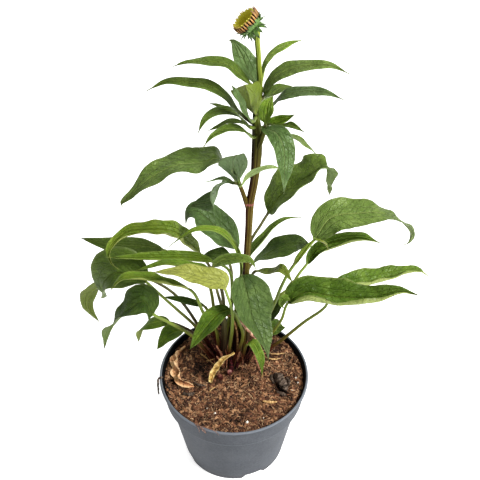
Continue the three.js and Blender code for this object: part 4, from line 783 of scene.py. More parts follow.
def mouldedPlastic():  # recycled polypropylene, injection moulded: fine satin grain with faint scuffs and dust, with painted highlights on the lip and the collar line and painted shade in the groove and inside
    material, put = newMaterial("mouldedPolypropylene")
    place = put("TexCoord").outputs["Object"]
    height = put("SeparateXYZ", place)
    grain = put("TexNoise", {"Vector": place, "Scale": 1400.0, "Detail": 2.0})  # 0.7 mm grain
    cloud = put("TexNoise", {"Vector": place, "Scale": 28.0, "Detail": 4.0, "Roughness": 0.6})
    scuffPlace = put("Mapping", {"Vector": place, "Scale": (60.0, 60.0, 420.0)})
    scuff = put("TexNoise", {"Vector": scuffPlace, "Scale": 1.0, "Detail": 3.0})
    scuffed = put("MapRange", scuff, 0.6, 0.75, 0.0, 0.3)
    speck = put("TexNoise", {"Vector": place, "Scale": 420.0, "Detail": 3.0})  # 2.4 mm, coarse enough to show
    mottle = put("Mix", 0.45, cloud, speck)
    body = put("ValToRGB", mottle, stops=[(0.38, plasticColours["body"]), (0.64, plasticColours["worn"])])
    marked = put("Mix RGBA", scuffed, body, linear(plasticColours["dust"]))
    low = put("MapRange", height.outputs[2], 0.012, 0.0, 0.0, 0.35)
    dusty = put("Mix RGBA", low, marked, linear(plasticColours["dust"]))
    # painted highlight along the lip's outer edge, and painted shade over the inside wall
    high = put("MapRange", height.outputs[2], potMarks["lipHighlightFrom"] * mm, potMarks["lipHighlightTo"] * mm, 0.0, 0.6)
    paintedLight = put("Mix RGBA", high, dusty, linear(plasticColours["paintedLight"]))
    # painted highlight where the collar's lower edge catches the light, and painted shadow in the groove under the lip
    lineSize = put("ABSOLUTE", put("SUBTRACT", height.outputs[2], potMarks["collarLine"] * mm))
    line = put("MapRange", lineSize, 0.0009, 0.0004, 0.0, 0.5)
    paintedLight = put("Mix RGBA", line, paintedLight, linear(plasticColours["paintedLight"]))
    # painted shadow: a near-black band under the lip
    grooveSize = put("ABSOLUTE", put("SUBTRACT", height.outputs[2], potMarks["groove"] * mm))
    groove = put("MapRange", grooveSize, 0.0016, 0.0006, 0.0, 0.6)
    paintedLight = put("Mix RGBA", groove, paintedLight, linear(plasticColours["inside"]))
    # painted shade: faces that point inward, the inner wall, take the near-black colour
    outward = put("VectorMath DOT_PRODUCT", put("NewGeometry").outputs["Normal"], place)
    inward = put("MapRange", outward, 0.045, 0.0, 0.0, 1.0)
    paintedLight = put("Mix RGBA", inward, paintedLight, linear(plasticColours["inside"]))
    # the tool's ring marks under the collar and near the foot
    ringStep = potMarks["ringStep"] * mm
    ringGap = put("SUBTRACT", ringStep, put("PINGPONG", height.outputs[2], ringStep))
    relief = put("MULTIPLY_ADD", grain, 0.35, put("MapRange SMOOTHSTEP", ringGap, 0.0008, 0.0, 0.0, 0.4))
    rough = put("MapRange", cloud, 0.0, 1.0, 0.5, 0.66)
    return closeMaterial(material, put, paintedLight, rough, relief, (0.25, 0.4), {"IOR": 1.49, "Specular IOR Level": 0.12})


def innerRadius(z):  # of the pot's wall, at a height in mm
    body = lerp(pot["baseRadius"], pot["bodyTopRadius"], z / pot["collarBottom"])
    collarShare = (z - pot["collarBottom"]) / (pot["collarTop"] - pot["collarBottom"])
    collar = lerp(pot["collarRadius"], pot["collarTopRadius"], collarShare)
    widening = min(max((z - pot["collarBottom"]) / 8, 0), 1)
    return lerp(body, collar, widening * widening * (3 - 2 * widening)) - pot["wall"]


def ringPoints(radius, z, count):  # in m, from sizes in mm
    angles = [circle * k / count for k in range(count)]
    return [(radius * mm * math.cos(angle), radius * mm * math.sin(angle), z * mm) for angle in angles]


def turnedMesh(name, profile, segments):  # a closed solid turned about the upright axis, profile in mm from low middle
    verts, faces = [], []
    for radius, z in profile[1:-1]:
        verts += ringPoints(radius, z, segments)
    rows = len(profile) - 2
    for row in range(rows - 1):
        for k in range(segments):
            a, b = row * segments + k, row * segments + (k + 1) % segments
            faces.append((a, b, b + segments, a + segments))
    verts += [(0, 0, profile[0][1] * mm), (0, 0, profile[-1][1] * mm)]
    low, high, last = len(verts) - 2, len(verts) - 1, (rows - 1) * segments
    for k in range(segments):
        faces.append((low, (k + 1) % segments, k))
        faces.append((high, last + k, last + (k + 1) % segments))
    mesh = bpy.data.meshes.new(name)
    mesh.from_pydata(verts, [], faces)
    mesh.validate()
    return mesh


def notchShape(material):  # cuts a ring of drainage notches out of a turned body
    tree, put, given = newShape("drainageNotches", {
        "Count": 4, "Radius": 0.05, "Turn": 0.0, "Notch size": (0.0, 0.0, 0.0),
        "Narrowing": 0.0})
    ring = put("MeshCircle", given["Count"], given["Radius"])
    turned = put("Transform", {"Geometry": ring, "Rotation": put("CombineXYZ", 0.0, 0.0, given["Turn"])})
    corner = put("SeparateXYZ", put("InputPosition"))
    width = put("SUBTRACT", 1.0, put("MULTIPLY", corner.outputs[2], given["Narrowing"]))
    tapered = put("CombineXYZ", corner, put("MULTIPLY", corner.outputs[1], width), corner.outputs[2])
    block = put("SetPosition", {"Geometry": put("MeshCube", given["Notch size"]), "Position": tapered})
    outward = put("SeparateXYZ", put("InputPosition"))
    rotation = put("CombineXYZ", 0.0, 0.0, put("ARCTAN2", outward.outputs[1], outward))
    placed = put("InstanceOnPoints", {"Points": turned, "Instance": block, "Rotation": rotation})
    cut = put("MeshBoolean EXACT", {"Mesh 1": given["Geometry"], "Mesh 2": put("RealizeInstances", placed)})
    gentle = put("Compare LESS_THAN", put("InputMeshEdgeAngle"), 0.6)
    soft = put("SetShadeSmooth EDGE", {"Geometry": cut, "Shade Smooth": gentle})
    return closeShape(tree, soft, material)


corner = pot["baseRadius"] - pot["wall"]
floorTop = pot["footHeight"] + pot["floor"]
lipInside = pot["height"] - 4
profile = [
    (0, 0), (pot["padRadius"], 0), (pot["padRadius"] + 2, pot["footHeight"]), (corner, pot["footHeight"]),
    (corner + 0.3, 0), (pot["baseRadius"] - 0.4, 0), (pot["baseRadius"], 0.5),
    (pot["baseRadius"] + 0.8, pot["footLine"]), (pot["baseRadius"] + 1.3, pot["footLine"] + 0.5),
    (pot["bodyTopRadius"], pot["collarBottom"]), (pot["bodyTopRadius"] + 0.6, pot["collarBottom"] + 0.1),
    (pot["collarRadius"] - 0.4, pot["collarBottom"] + 0.4), (pot["collarRadius"], pot["collarBottom"] + 1.2),
    (pot["collarTopRadius"] - 0.1, pot["collarTop"] - 1.2), (pot["collarTopRadius"] + 0.3, pot["collarTop"] - 0.2),
    *[(pot["rimRadius"] + r, pot["height"] + z) for r, z in pot["lip"]],
    *[(innerRadius(z), z) for z in (lipInside, 106, 103, 99, 95, floorTop)], (0, floorTop)]
potMesh = growMesh(notchShape(mouldedPlastic()), turnedMesh("potBody", profile, pot["segments"]), {
    "Count": pot["notches"], "Radius": pot["baseRadius"] * mm, "Turn": circle * pot["notchTurn"] / pot["notches"],
    "Notch size": Vector((pot["notchDepth"], pot["notchWidth"], 2 * pot["notchHeight"])) * mm,
    "Narrowing": (1 - pot["notchTopWidth"] / pot["notchWidth"]) / (pot["notchHeight"] * mm)})
standFor(showPiece("nurseryPot", potMesh), "pot", "pot")
print("pot is turned")

# soil (mm)
soil = {
    "level": 116.6, "moundHeight": 2.4, "moundRadius": 34, "crown": (-2, 32), "lumps": 2.6, "lumpSize": 12,
    "rings": 70, "segments": 220, "wallGap": 0.7,
}
pits = [  # x, y, radius and depth of the hollows
    (54, -12, 13, 5.5), (46, 2, 6, 3.0), (58, -22, 5, 3.5), (-40, 17, 10, 4.5), (-44, -18, 6, 3.0), (-12, 20, 11, 4.5),
    (-68, -4, 6, 2.0), (62, 26, 6, 2.0), (12, 16, 8, 3.0), (2, 34, 14, 3.0)]
soilBits = {  # count, size or length, thickness in mm, and how far each is bent
    "crumbs": {"count": 4600, "size": 3.2, "spread": 0.75, "seed": 3},
    "fibres": {"count": 3400, "length": 11.0, "thickness": 0.6, "bend": 6.0, "seed": 5},
}
soilColours = ["#211109", "#472b1a", "#704a33", "#97704f", "#c49c78"]
fibreColours = ["#3c281c", "#6e4e38", "#a07c5c", "#d0b08c"]
hollowShade = {"above": 116.4, "below": 112.6, "share": 0.42}  # painted shade: the mix is painted darker below these heights, in the hollows


def soilHeight(x, y):  # surface of the mix without its crumbs
    toCrown = math.hypot(x - soil["crown"][0], y - soil["crown"][1])
    mound = soil["moundHeight"] * math.exp(-((toCrown / soil["moundRadius"]) ** 2))
    hollow = sum(depth * math.exp(-((math.hypot(x - px, y - py) / radius) ** 2)) for px, py, radius, depth in pits)
    return soil["level"] + mound - hollow + 1.1 * math.sin(x / 13 + 0.6) * math.sin(y / 11 - 0.4)


def roughSoil(x, y):  # with its lumps and pits
    spot = Vector((x, y, 0)) / soil["lumpSize"]
    lump = noise.fractal(spot, 0.7, 2.1, 4) * soil["lumps"]
    return soilHeight(x, y) + lump


def soilMaterial(name, colours, spread):  # coco and wood fibre mix: moist, matt, every bit its own brown, painted darker in the hollows as shade
    material, put = newMaterial(name)
    place = put("TexCoord").outputs["Object"]
    speck = put("TexNoise", {"Vector": place, "Scale": 420.0, "Detail": 4.0, "Roughness": 0.7})
    patchy = put("MULTIPLY_ADD", put("TexNoise", {"Vector": place, "Scale": 45.0, "Detail": 2.0}), 0.5, -0.25)
    speckled = put("MULTIPLY_ADD", speck, 0.5, patchy)
    shade = put("MULTIPLY_ADD", put("Attribute", attribute_name="bitTint").outputs["Fac"], spread, speckled)
    height = put("SeparateXYZ", place)
    # painted shade: the lower the surface lies, the darker it is painted
    hollowDarkening = put("MapRange SMOOTHSTEP", height.outputs[2], hollowShade["above"] * mm, hollowShade["below"] * mm, 0.0,
              hollowShade["share"])
    dark = put("SUBTRACT", shade, hollowDarkening)
    last = len(colours) - 1
    brown = put("ValToRGB", dark, stops=[(0.15 + 0.75 * i / last, colour) for i, colour in enumerate(colours)])
    return closeMaterial(material, put, brown, 0.85, speck, (0.9, 0.6))


def scatterShape(name, material, fibre):  # bits of mix lying on the soil's surface
    tree, put, given = newShape(name, {
        "Count": 100, "Size": 0.002, "Spread": 0.5, "Thickness": 0.0003,
        "Bend": 0.002, "Bend size": 0.008, "Reach": 0.08, "Seed": 1})
    area = put("AttributeStatistic FACE", {"Geometry": given["Geometry"], "Attribute": put("InputMeshFaceArea")})
    density = put("DIVIDE", given["Count"], area.outputs["Sum"])
    spots = put("DistributePointsOnFaces", {"Mesh": given["Geometry"], "Density": density, "Seed": given["Seed"]})
    if fibre:
        thread = put("MeshLine", {"Count": 6, "Start Location": (-0.5, 0, 0), "Offset": (0.2, 0, 0)})
        curve = put("MeshToCurve", thread)
        section = put("CurvePrimitiveCircle", {"Resolution": 3, "Radius": 0.03})
        bit = put("CurveToMesh", {"Curve": curve, "Profile Curve": section, "Fill Caps": True})
        turn = put("RandomValue FLOAT_VECTOR", (-0.25, -0.3, 0.0), (0.25, 0.3, circle), {"Seed": given["Seed"]})
    else:
        bit = put("MeshIcoSphere", {"Radius": 0.5, "Subdivisions": 1})
        turn = put("RandomValue FLOAT_VECTOR", (-0.6, -0.6, 0.0), (0.6, 0.6, circle), {"Seed": given["Seed"]})
    most = put("ADD", 1.0, given["Spread"])
    varied = put("RandomValue", put("SUBTRACT", 1.0, given["Spread"]), most, {"Seed": given["Seed"]})
    length = put("MULTIPLY", varied, given["Size"])
    if fibre:
        girth = put("DIVIDE", given["Thickness"], 0.06)
        scale = put("CombineXYZ", length, girth, girth)
    else:
        squash = put("RandomValue FLOAT_VECTOR", (0.7, 0.35, 0.3), (2.4, 0.9, 0.7), {"Seed": 9})
        scale = put("VectorMath SCALE", squash, {"Scale": length})
    placed = put("InstanceOnPoints", {"Points": spots, "Instance": bit, "Rotation": turn, "Scale": scale})
    tint = put("RandomValue", 0.0, 1.0, {"Seed": 21})
    tinted = put("StoreNamedAttribute INSTANCE", {"Geometry": placed, "Name": "bitTint", "Value": tint})
    grid = put("DIVIDE", 1.0, given["Bend size"])
    warp = put("TexNoise", {"Vector": put("InputPosition"), "Scale": grid, "Detail": 1.0})
    centred = put("VectorMath SUBTRACT", warp.outputs["Color"], (0.5, 0.5, 0.5))
    push = put("VectorMath SCALE", centred, {"Scale": given["Bend"]})
    bent = put("SetPosition", {"Geometry": put("RealizeInstances", tinted), "Offset": push})
    # nothing passes the pot's wall
    placeNow = put("SeparateXYZ", put("InputPosition"))
    distance = put("VectorMath LENGTH", put("CombineXYZ", placeNow, placeNow.outputs[1]))
    inward = put("DIVIDE", given["Reach"], put("MAXIMUM", distance, given["Reach"]))
    y = put("MULTIPLY", placeNow.outputs[1], inward)
    held = put("CombineXYZ", put("MULTIPLY", placeNow, inward), y, placeNow.outputs[2])
    kept = put("SetPosition", {"Geometry": bent, "Position": held})
    soft = put("SetShadeSmooth", {"Geometry": kept, "Shade Smooth": fibre})
    return closeShape(tree, soft, material)


def soilSurface(edge):  # the rough top of the mix, out to the wall
    verts = [(0, 0, roughSoil(0, 0) * mm)]
    faces = []
    for ring in range(1, soil["rings"] + 1):
        radius = edge * (ring / soil["rings"]) ** 0.9
        for k in range(soil["segments"]):
            angle = circle * k / soil["segments"]
            x, y = radius * math.cos(angle), radius * math.sin(angle)
            verts.append((x * mm, y * mm, roughSoil(x, y) * mm))
    count = soil["segments"]
    for k in range(count):
        faces.append((0, 1 + k, 1 + (k + 1) % count))
    for ring in range(soil["rings"] - 1):
        for k in range(count):
            a, b = 1 + ring * count + k, 1 + ring * count + (k + 1) % count
            faces.append((a, a + count, b + count, b))
    return verts, faces


soilEdge = innerRadius(soil["level"]) - 0.6
soilReach = innerRadius(soil["level"] - 5) - 0.3
verts, faces = soilSurface(soilEdge)
topMesh = bpy.data.meshes.new("soilTop")
topMesh.from_pydata(verts, [], faces)
count = soil["segments"]
rim = len(verts) - count
for z in (97, 6.3):  # the side, down to the pot's floor
    first = len(verts)
    verts += ringPoints(innerRadius(z) - soil["wallGap"], z, count)
    faces += [(rim + k, first + k, first + (k + 1) % count, rim + (k + 1) % count) for k in range(count)]
    rim = first
faces.append(tuple(rim + count - 1 - k for k in range(count)))
soilMesh = bpy.data.meshes.new("soilBody")
soilMesh.from_pydata(verts, [], faces)
soilMesh.materials.append(soilMaterial("moistPottingMix", soilColours, 0.0))
soilMesh.polygons.foreach_set("use_smooth", [True] * len(soilMesh.polygons))
standFor(showPiece("soilBody", soilMesh), "soil", "soil")
crumbs, fibres = soilBits["crumbs"], soilBits["fibres"]
crumbTree = scatterShape("soilCrumbs", soilMaterial("cocoCrumbs", soilColours, 0.55), False)
crumbMesh = growMesh(crumbTree, topMesh, {
    "Count": crumbs["count"], "Size": crumbs["size"] * mm, "Spread": crumbs["spread"], "Bend": 0.0024,
    "Bend size": 0.002, "Reach": soilReach * mm, "Seed": crumbs["seed"]})
standFor(showPiece("soilCrumbs", crumbMesh), "soil", "soil")
fibreTree = scatterShape("soilFibres", soilMaterial("woodFibre", fibreColours, 0.6), True)
fibreMesh = growMesh(fibreTree, topMesh, {
    "Count": fibres["count"], "Size": fibres["length"] * mm, "Spread": 0.6, "Thickness": fibres["thickness"] * mm,
    "Bend": fibres["bend"] * mm, "Bend size": 0.004, "Reach": soilReach * mm, "Seed": fibres["seed"]})
standFor(showPiece("soilFibres", fibreMesh), "soil", "soil")
print("soil is laid:", len(crumbMesh.polygons), len(fibreMesh.polygons))

# flower head (mm), made upright on the origin, then tilted on the stem's top
flower = {
    "at": (19.8, 20.7, 574), "tiltAxis": (-0.687, 0.066, 0.724), "segments": 64,
    "cup": [(0, 0.3), (2.7, 0.3), (3.8, 0.9), (7.4, 2.4), (10.4, 4.2), (11.8, 6.0), (12.0, 7.2), (11.4, 7.6),
            (0, 7.6)],
    "disc": [(0, 7.8), (10.7, 7.8), (11.0, 9.0), (11.1, 12.4), (10.9, 13.7), (10.4, 14.0), (9.6, 13.4),
             (7.6, 11.4), (5.0, 10.2), (2.4, 9.7), (0, 9.6)],
    "florets": {"count": 340, "length": 1.9, "radius": 0.55, "reach": 10.9, "centre": 9.6, "rim": 14.2, "seed": 4},
    "rays": (27, 6.9, 2.0, 1.5, 78, 9, 11.7, 7.8, 7, 0.12, 4.5, 8, (0, 360)),
    "tallRays": (4, 10.2, 2.3, 1.4, 76, 16, 11.9, 7.9, 3, 0.14, 3.0, 5, (-26, 30)),
    "innerRays": (30, 4.6, 1.5, 0.9, 62, 10, 10.2, 12.2, 9, 0.3, 1.6, 15, (36, 250)),
    "bracts": [
        (13, 9.4, 3.9, 1.0, -30, -34, 5.2, 2.4, 15, 0.16, 2.4, 3, (0, 360)),
        (15, 9.0, 3.8, 1.0, -8, -16, 6.6, 3.8, 16, 0.18, 2.2, 9, (12, 372)),
        (15, 6.6, 3.4, 0.9, 12, 34, 9.0, 5.4, 14, 0.2, 2.0, 14, (0, 360)),
        (27, 5.6, 3.3, 0.8, 44, 44, 11.4, 5.0, 22, 0.34, 1.8, 19, (0, 360))],
}
ringParts = ("count", "length", "width", "thickness", "rise", "curl", "from", "height", "spread", "uneven", "taper",
             "seed", "arc")
headColours = {
    "bract": ["#4c6c2a", "#587636", "#1f2416"], "bractEdge": "#6e8a48",
    "ray": ["#553010", "#94682c", "#b28a4a", "#9a7a44"], "rayEdge": "#4a2808",
    "tallRay": ["#6a4a20", "#94703c", "#8e6844", "#6e5048"], "innerRay": ["#a09a1c", "#b8ac2c", "#b89c3c", "#8c6c30"],
    "disc": ["#b4ac1a", "#c2b81c", "#ccc42c", "#dcdc6c"], "discSide": "#4a2608",
}


def strapShape(name, material):  # a ring of narrow pointed straps that lean out and curl
    tree, put, given = newShape(name, {
        "Length": 0.008, "Width": 0.002, "Thickness": 0.0007, "Rise": 0.1, "Curl": 0.1,
        "Spread": 0.1, "Uneven": 0.1, "Taper": 2.0, "Seed": 1})
    sheet = put("MeshGrid", 1.0, 1.0, 12, 13)
    spot = put("SeparateXYZ", put("InputPosition"))
    share = put("ADD", spot, 0.5)
    angle = put("MULTIPLY", spot.outputs[1], circle)
    pitch = put("ADD", put("MULTIPLY", share, given["Curl"]), given["Rise"])
    pitchSin = put("SINE", pitch)
    pitchCos = put("COSINE", pitch)
    bow = put("DIVIDE", given["Length"], given["Curl"])
    inside = put("LESS_THAN", put("ABSOLUTE", spot), 0.4999)
    size = put("MULTIPLY", put("SUBTRACT", 1.0, put("POWER", share, given["Taper"])), inside)
    angleCos = put("COSINE", angle)
    angleSin = put("SINE", angle)
    widthHere = put("MULTIPLY", put("MULTIPLY", given["Width"], 0.5), size)
    above = put("MULTIPLY", put("MULTIPLY", put("MULTIPLY", given["Thickness"], -0.5), size), angleSin)
    back = put("MULTIPLY", above, pitchSin)
    raised = put("MULTIPLY", above, pitchCos)
    x = put("SUBTRACT", put("MULTIPLY", put("SUBTRACT", pitchSin, put("SINE", given["Rise"])), bow), back)
    y = put("MULTIPLY", put("MULTIPLY", widthHere, angleCos), -1.0)
    z = put("ADD", put("MULTIPLY", put("SUBTRACT", put("COSINE", given["Rise"]), pitchCos), bow), raised)
    parts = put("CombineXYZ", angleCos, share, angleSin)
    stored = put("StoreNamedAttribute FLOAT_VECTOR", {"Geometry": sheet, "Name": "strapPlace", "Value": parts})
    shaped = put("SetPosition", {"Geometry": stored, "Position": put("CombineXYZ", x, y, z)})
    strap = put("FlipFaces", put("MergeByDistance", {"Geometry": shaped, "Distance": 0.000002}))

    spotOnRing = put("SeparateXYZ", put("InputPosition"))
    swing = put("RandomValue", -0.12, 0.12, {"Seed": given["Seed"]})
    less = put("MULTIPLY", given["Spread"], -1.0)
    nod = put("RandomValue", less, given["Spread"], {"Seed": given["Seed"], "ID": put("InputIndex")})
    rotation = put("CombineXYZ", 0.0, nod, put("ADD", put("ARCTAN2", spotOnRing.outputs[1], spotOnRing), swing))
    most = put("ADD", 1.0, given["Uneven"])
    scale = put("RandomValue", put("SUBTRACT", 1.0, given["Uneven"]), most, {"Seed": 31})
    placed = put("InstanceOnPoints",
                 {"Points": given["Geometry"], "Instance": strap, "Rotation": rotation, "Scale": scale})
    tint = put("RandomValue", 0.0, 1.0, {"Seed": given["Seed"]})
    tinted = put("StoreNamedAttribute INSTANCE", {"Geometry": placed, "Name": "strapTint", "Value": tint})
    return closeShape(tree, tinted, material)


def strapMaterial(name, colours, stops, edge):  # soft plant tissue: matt, finely ribbed along its length
    material, put = newMaterial(name)
    parts = put("SeparateXYZ", put("Attribute", attribute_name="strapPlace").outputs["Vector"])
    fleck = put("TexNoise", {"Vector": put("TexCoord").outputs["Object"], "Scale": 900.0})
    uneven = put("MULTIPLY_ADD", fleck, 0.3, parts.outputs[1])
    varied = put("MULTIPLY_ADD", put("Attribute", attribute_name="strapTint").outputs["Fac"], 0.2, uneven)
    along = put("ValToRGB", put("SUBTRACT", varied, 0.25), stops=list(zip(stops, colours)))
    toEdge = put("MapRange SMOOTHSTEP", put("ABSOLUTE", parts), 0.55, 1.0, 0.0, edge[1])
    colour = put("Mix RGBA", toEdge, along, linear(edge[0]))
    ribs = put("PINGPONG", parts, 0.25)
    return closeMaterial(material, put, colour, 0.6, ribs, (0.6, 0.4), {"Sheen Weight": 0.15})


def tissueMaterial(name, colours):  # the cup and the side of the disc: dense matt tissue with fine pimples
    material, put = newMaterial(name)
    place = put("TexCoord").outputs["Object"]
    cell = put("TexVoronoi", {"Vector": place, "Scale": 1500.0})
    cloud = put("TexNoise", {"Vector": place, "Scale": 300.0, "Detail": 2.0})
    colour = put("ValToRGB", cloud, stops=[(0.35, colours[0]), (0.65, colours[1])])
    return closeMaterial(material, put, colour, 0.65, cell, (0.6, 0.4))


def discMaterial():  # spongy disc under the buds: brown round its side, olive on the face
    material, put = newMaterial("discTissue")
    cell = put("TexVoronoi", {"Vector": put("TexCoord").outputs["Object"], "Scale": 1500.0})
    facing = put("VectorMath DOT_PRODUCT", put("NewGeometry").outputs["Normal"], flower["tiltAxis"])
    top = put("MapRange", facing, 0.1, 0.4)
    colour = put("Mix RGBA", top, linear(headColours["discSide"]), linear(headColours["disc"][0]))
    return closeMaterial(material, put, colour, 0.7, cell, (0.5, 0.3))


def floretMaterial():  # packed buds of the disc: olive at the centre, yellow-green on the rim
    material, put = newMaterial("discFlorets")
    tint = put("Attribute", attribute_name="floretTint").outputs["Fac"]
    varied = put("MULTIPLY_ADD", tint, 0.16, put("Attribute", attribute_name="discShare").outputs["Fac"])
    colour = put("ValToRGB", varied, stops=list(zip((0.1, 0.5, 0.85, 1.0), headColours["disc"])))
    return closeMaterial(material, put, colour, 0.5, more={"Sheen Weight": 0.1})


def floretShape(material):  # pointed buds set in a sunflower spiral over the dished disc
    tree, put, given = newShape("floretSpiral", {
        "Count": 200, "Reach": 0.008, "Centre height": 0.011,
        "Rim height": 0.014, "Length": 0.0015, "Radius": 0.0005, "Seed": 1})
    index = put("InputIndex")
    share = put("SQRT", put("DIVIDE", put("ADD", index, 0.5), given["Count"]))
    distance = put("MULTIPLY", share, given["Reach"])
    angle = put("MULTIPLY", index, math.pi * (3 - math.sqrt(5)))
    y = put("MULTIPLY", distance, put("SINE", angle))
    bowl = put("POWER", share, 2.4)
    z = put("MapRange", bowl, 0.0, 1.0, given["Centre height"], given["Rim height"])
    place = put("CombineXYZ", put("MULTIPLY", distance, put("COSINE", angle)), y, z)
    spots = put("SetPosition", {"Geometry": put("MeshLine", {"Count": given["Count"]}), "Position": place})
    bud = put("MeshCone",
              {"Vertices": 6, "Side Segments": 2, "Radius Top": 0.00008, "Radius Bottom": given["Radius"],
               "Depth": given["Length"]})
    drop = put("CombineXYZ", 0.0, 0.0, put("MULTIPLY", given["Length"], -0.45))
    sunk = put("Transform", {"Geometry": bud, "Translation": drop})
    rotation = put("CombineXYZ", 0.0, put("MULTIPLY", bowl, 0.5), angle)
    scale = put("RandomValue", 0.8, 1.25, {"Seed": given["Seed"]})
    placed = put("InstanceOnPoints", {"Points": spots, "Instance": sunk, "Rotation": rotation, "Scale": scale})
    shared = put("StoreNamedAttribute INSTANCE", {"Geometry": placed, "Name": "discShare", "Value": share})
    tint = put("RandomValue", -1.0, 1.0, {"Seed": 77})
    tinted = put("StoreNamedAttribute INSTANCE", {"Geometry": shared, "Name": "floretTint", "Value": tint})
    return closeShape(tree, tinted, material)


def emptyMesh(name):
    mesh = bpy.data.meshes.new(name)
    mesh.from_pydata([(0, 0, 0)], [], [])
    return mesh


def strapMesh(tree, sizes):  # straps stand on points along an arc, in degrees
    ring = dict(zip(ringParts, sizes))
    first, last = ring["arc"]
    angles = [math.radians(lerp(first, last, i / ring["count"])) for i in range(ring["count"])]
    spots = bpy.data.meshes.new("ring")
    spots.from_pydata([(ring["from"] * mm * math.cos(angle), ring["from"] * mm * math.sin(angle), ring["height"] * mm)
                       for angle in angles], [], [])
    return growMesh(tree, spots, {
        **{key.capitalize(): ring[key] * mm for key in ("length", "width", "thickness")},
        **{key.capitalize(): math.radians(ring[key]) for key in ("rise", "curl", "spread")},
        **{key.capitalize(): ring[key] for key in ("uneven", "taper", "seed")}})


def setOnStem(name, meshes):  # joins meshes made upright on the origin and tilts them on the stem's top
    turn = Vector((0, 0, 1)).rotation_difference(Vector(flower["tiltAxis"])).to_matrix().to_4x4()
    piece = joinMeshes(name, meshes)
    piece.data.transform(Matrix.Translation(Vector(flower["at"]) * mm) @ turn)
    return piece


cupMesh = turnedMesh("flowerCup", flower["cup"], flower["segments"])
cupMesh.materials.append(tissueMaterial("cupTissue", headColours["bract"]))
bractTree = strapShape("bractRing", strapMaterial("bractTissue", headColours["bract"],
                                                  [0.1, 0.5, 0.86], (headColours["bractEdge"], 0.5)))
bracts = setOnStem("flowerBracts", [cupMesh] + [strapMesh(bractTree, ring) for ring in flower["bracts"]])
standFor(bracts, "bracts", "flower_bracts")
rayMeshes = []
for kind in ("ray", "tallRay", "innerRay"):
    rayTree = strapShape(kind + "Ring", strapMaterial(kind + "Tissue", headColours[kind], [0.0, 0.35, 0.75, 1.0],
                                                      (headColours["rayEdge"], 0.95 if kind == "ray" else 0.5)))
    rayMeshes.append(strapMesh(rayTree, flower[kind + "s"]))
rays = setOnStem("flowerRays", rayMeshes)
standFor(rays, "rays", "flower_rays")
discMesh = turnedMesh("flowerDisc", flower["disc"], flower["segments"])
discMesh.materials.append(discMaterial())
florets = flower["florets"]
floretMesh = growMesh(floretShape(floretMaterial()), emptyMesh("spiral"), {
    "Count": florets["count"], "Reach": florets["reach"] * mm, "Centre height": florets["centre"] * mm,
    "Rim height": florets["rim"] * mm, "Length": florets["length"] * mm, "Radius": florets["radius"] * mm,
    "Seed": florets["seed"]})
disc = setOnStem("flowerDisc", [discMesh, floretMesh])
standFor(disc, "disc", "flower_disc")
print("flower head:", len(bracts.data.polygons), len(rays.data.polygons), len(disc.data.polygons))

# dead leaves, cut stubs, bark, wood and litter on the soil (mm)
dryLeaves = {
    "dry_leaf_curled": {"slot": "dry_tan", "seed": 3.0, "colours": ("#70402a", "#cc9668", "#eecb9e"),
                        "root": (-57, 45, 124), "width": 18, "widest": 0.5, "roll": (-60, -50), "fold": (40, 50),
                        "blade": [(-63, 38, 124), (-67, 28, 124), (-65, 17, 124), (-63, 4, 124), (-60, -7, 124),
                                  (-45, -14, 123)], "thickness": 0.6, "groove": 0.2, "tipPower": 0.6, "maxWave": 3.0,
                        "waveShare": 0.2, "waveLength": 19, "curl": (70, 70), "pucker": 1.3, "puckerSize": 7,
                        "ragged": 0.22, "rowLength": 1.0},
    "dry_strip_yellow": {"slot": "dry_yellow", "seed": 5.0, "colours": ("#b08a4a", "#e2c076", "#f4dea2"),
                         "root": (1, 7, 156), "width": 9, "widest": 0.6, "roll": (20, 40), "fold": (38, 20),
                         "blade": [(-2, 6, 154), (-10, 4, 149), (-18, 1, 139), (-24, -4, 130), (-27, -10, 122)],
                         "thickness": 0.5, "groove": 0.2, "tipPower": 0.35, "maxWave": 2.4, "waveShare": 0.3,
                         "curl": (50, 30), "waveLength": 9, "pucker": 1.7, "puckerSize": 4, "ragged": 0.3,
                         "rowLength": 1.0},
    "dry_strip_pink": {"slot": "dry_tan", "seed": 7.0, "colours": ("#7c4630", "#cc967c", "#e8c4a8"),
                       "root": (5, 12, 202), "held": True, "width": 8, "widest": 0.5, "roll": (10, 40),
                       "fold": (10, 25), "blade": [(7, 12, 199), (14, 10, 190), (20, 9, 181), (25, 9, 170)],
                       "thickness": 0.5, "groove": 0.2, "tipPower": 0.8, "maxWave": 1.6, "waveShare": 0.16,
                       "waveLength": 14, "pucker": 0.8, "puckerSize": 6, "ragged": 0.25, "rowLength": 1.0},
}
stubs = {
    "cut_stub_left": {"path": [(-15, -3, 108.3), (-15, -3, 122.2), (-17, -6, 125.2), (-17.05, -6.05, 125.26)],
                      "radii": [2.3, 2.3, 2.6, 2.5]},
    "cut_stub_right": {"path": [(-6, 4, 108.3), (-6, 4, 122.2), (-5, 0, 127.2), (-4.98, -0.05, 127.26)],
                       "radii": [2.3, 2.3, 2.6, 2.5]},
}
chips = {
    "bark_chunk": {"path": [(49, 3, 119), (52, -4, 121), (57, -14, 120), (60, -22, 119.5)], "radii": [2, 5, 4.5, 1.5],
                   "slot": "bark", "grain": 3.2, "grainSize": 4.6, "colours": ("#28201a", "#54463b", "#847467")},
    "wood_chip": {"path": [(32, -35, 121), (41, -37, 121.5), (49, -36, 121)], "radii": [0.8, 1.7, 0.6],
                  "slot": "chip", "grain": 0.3, "grainSize": 5.0, "colours": ("#8a6238", "#c39c68", "#e2c794")},
}
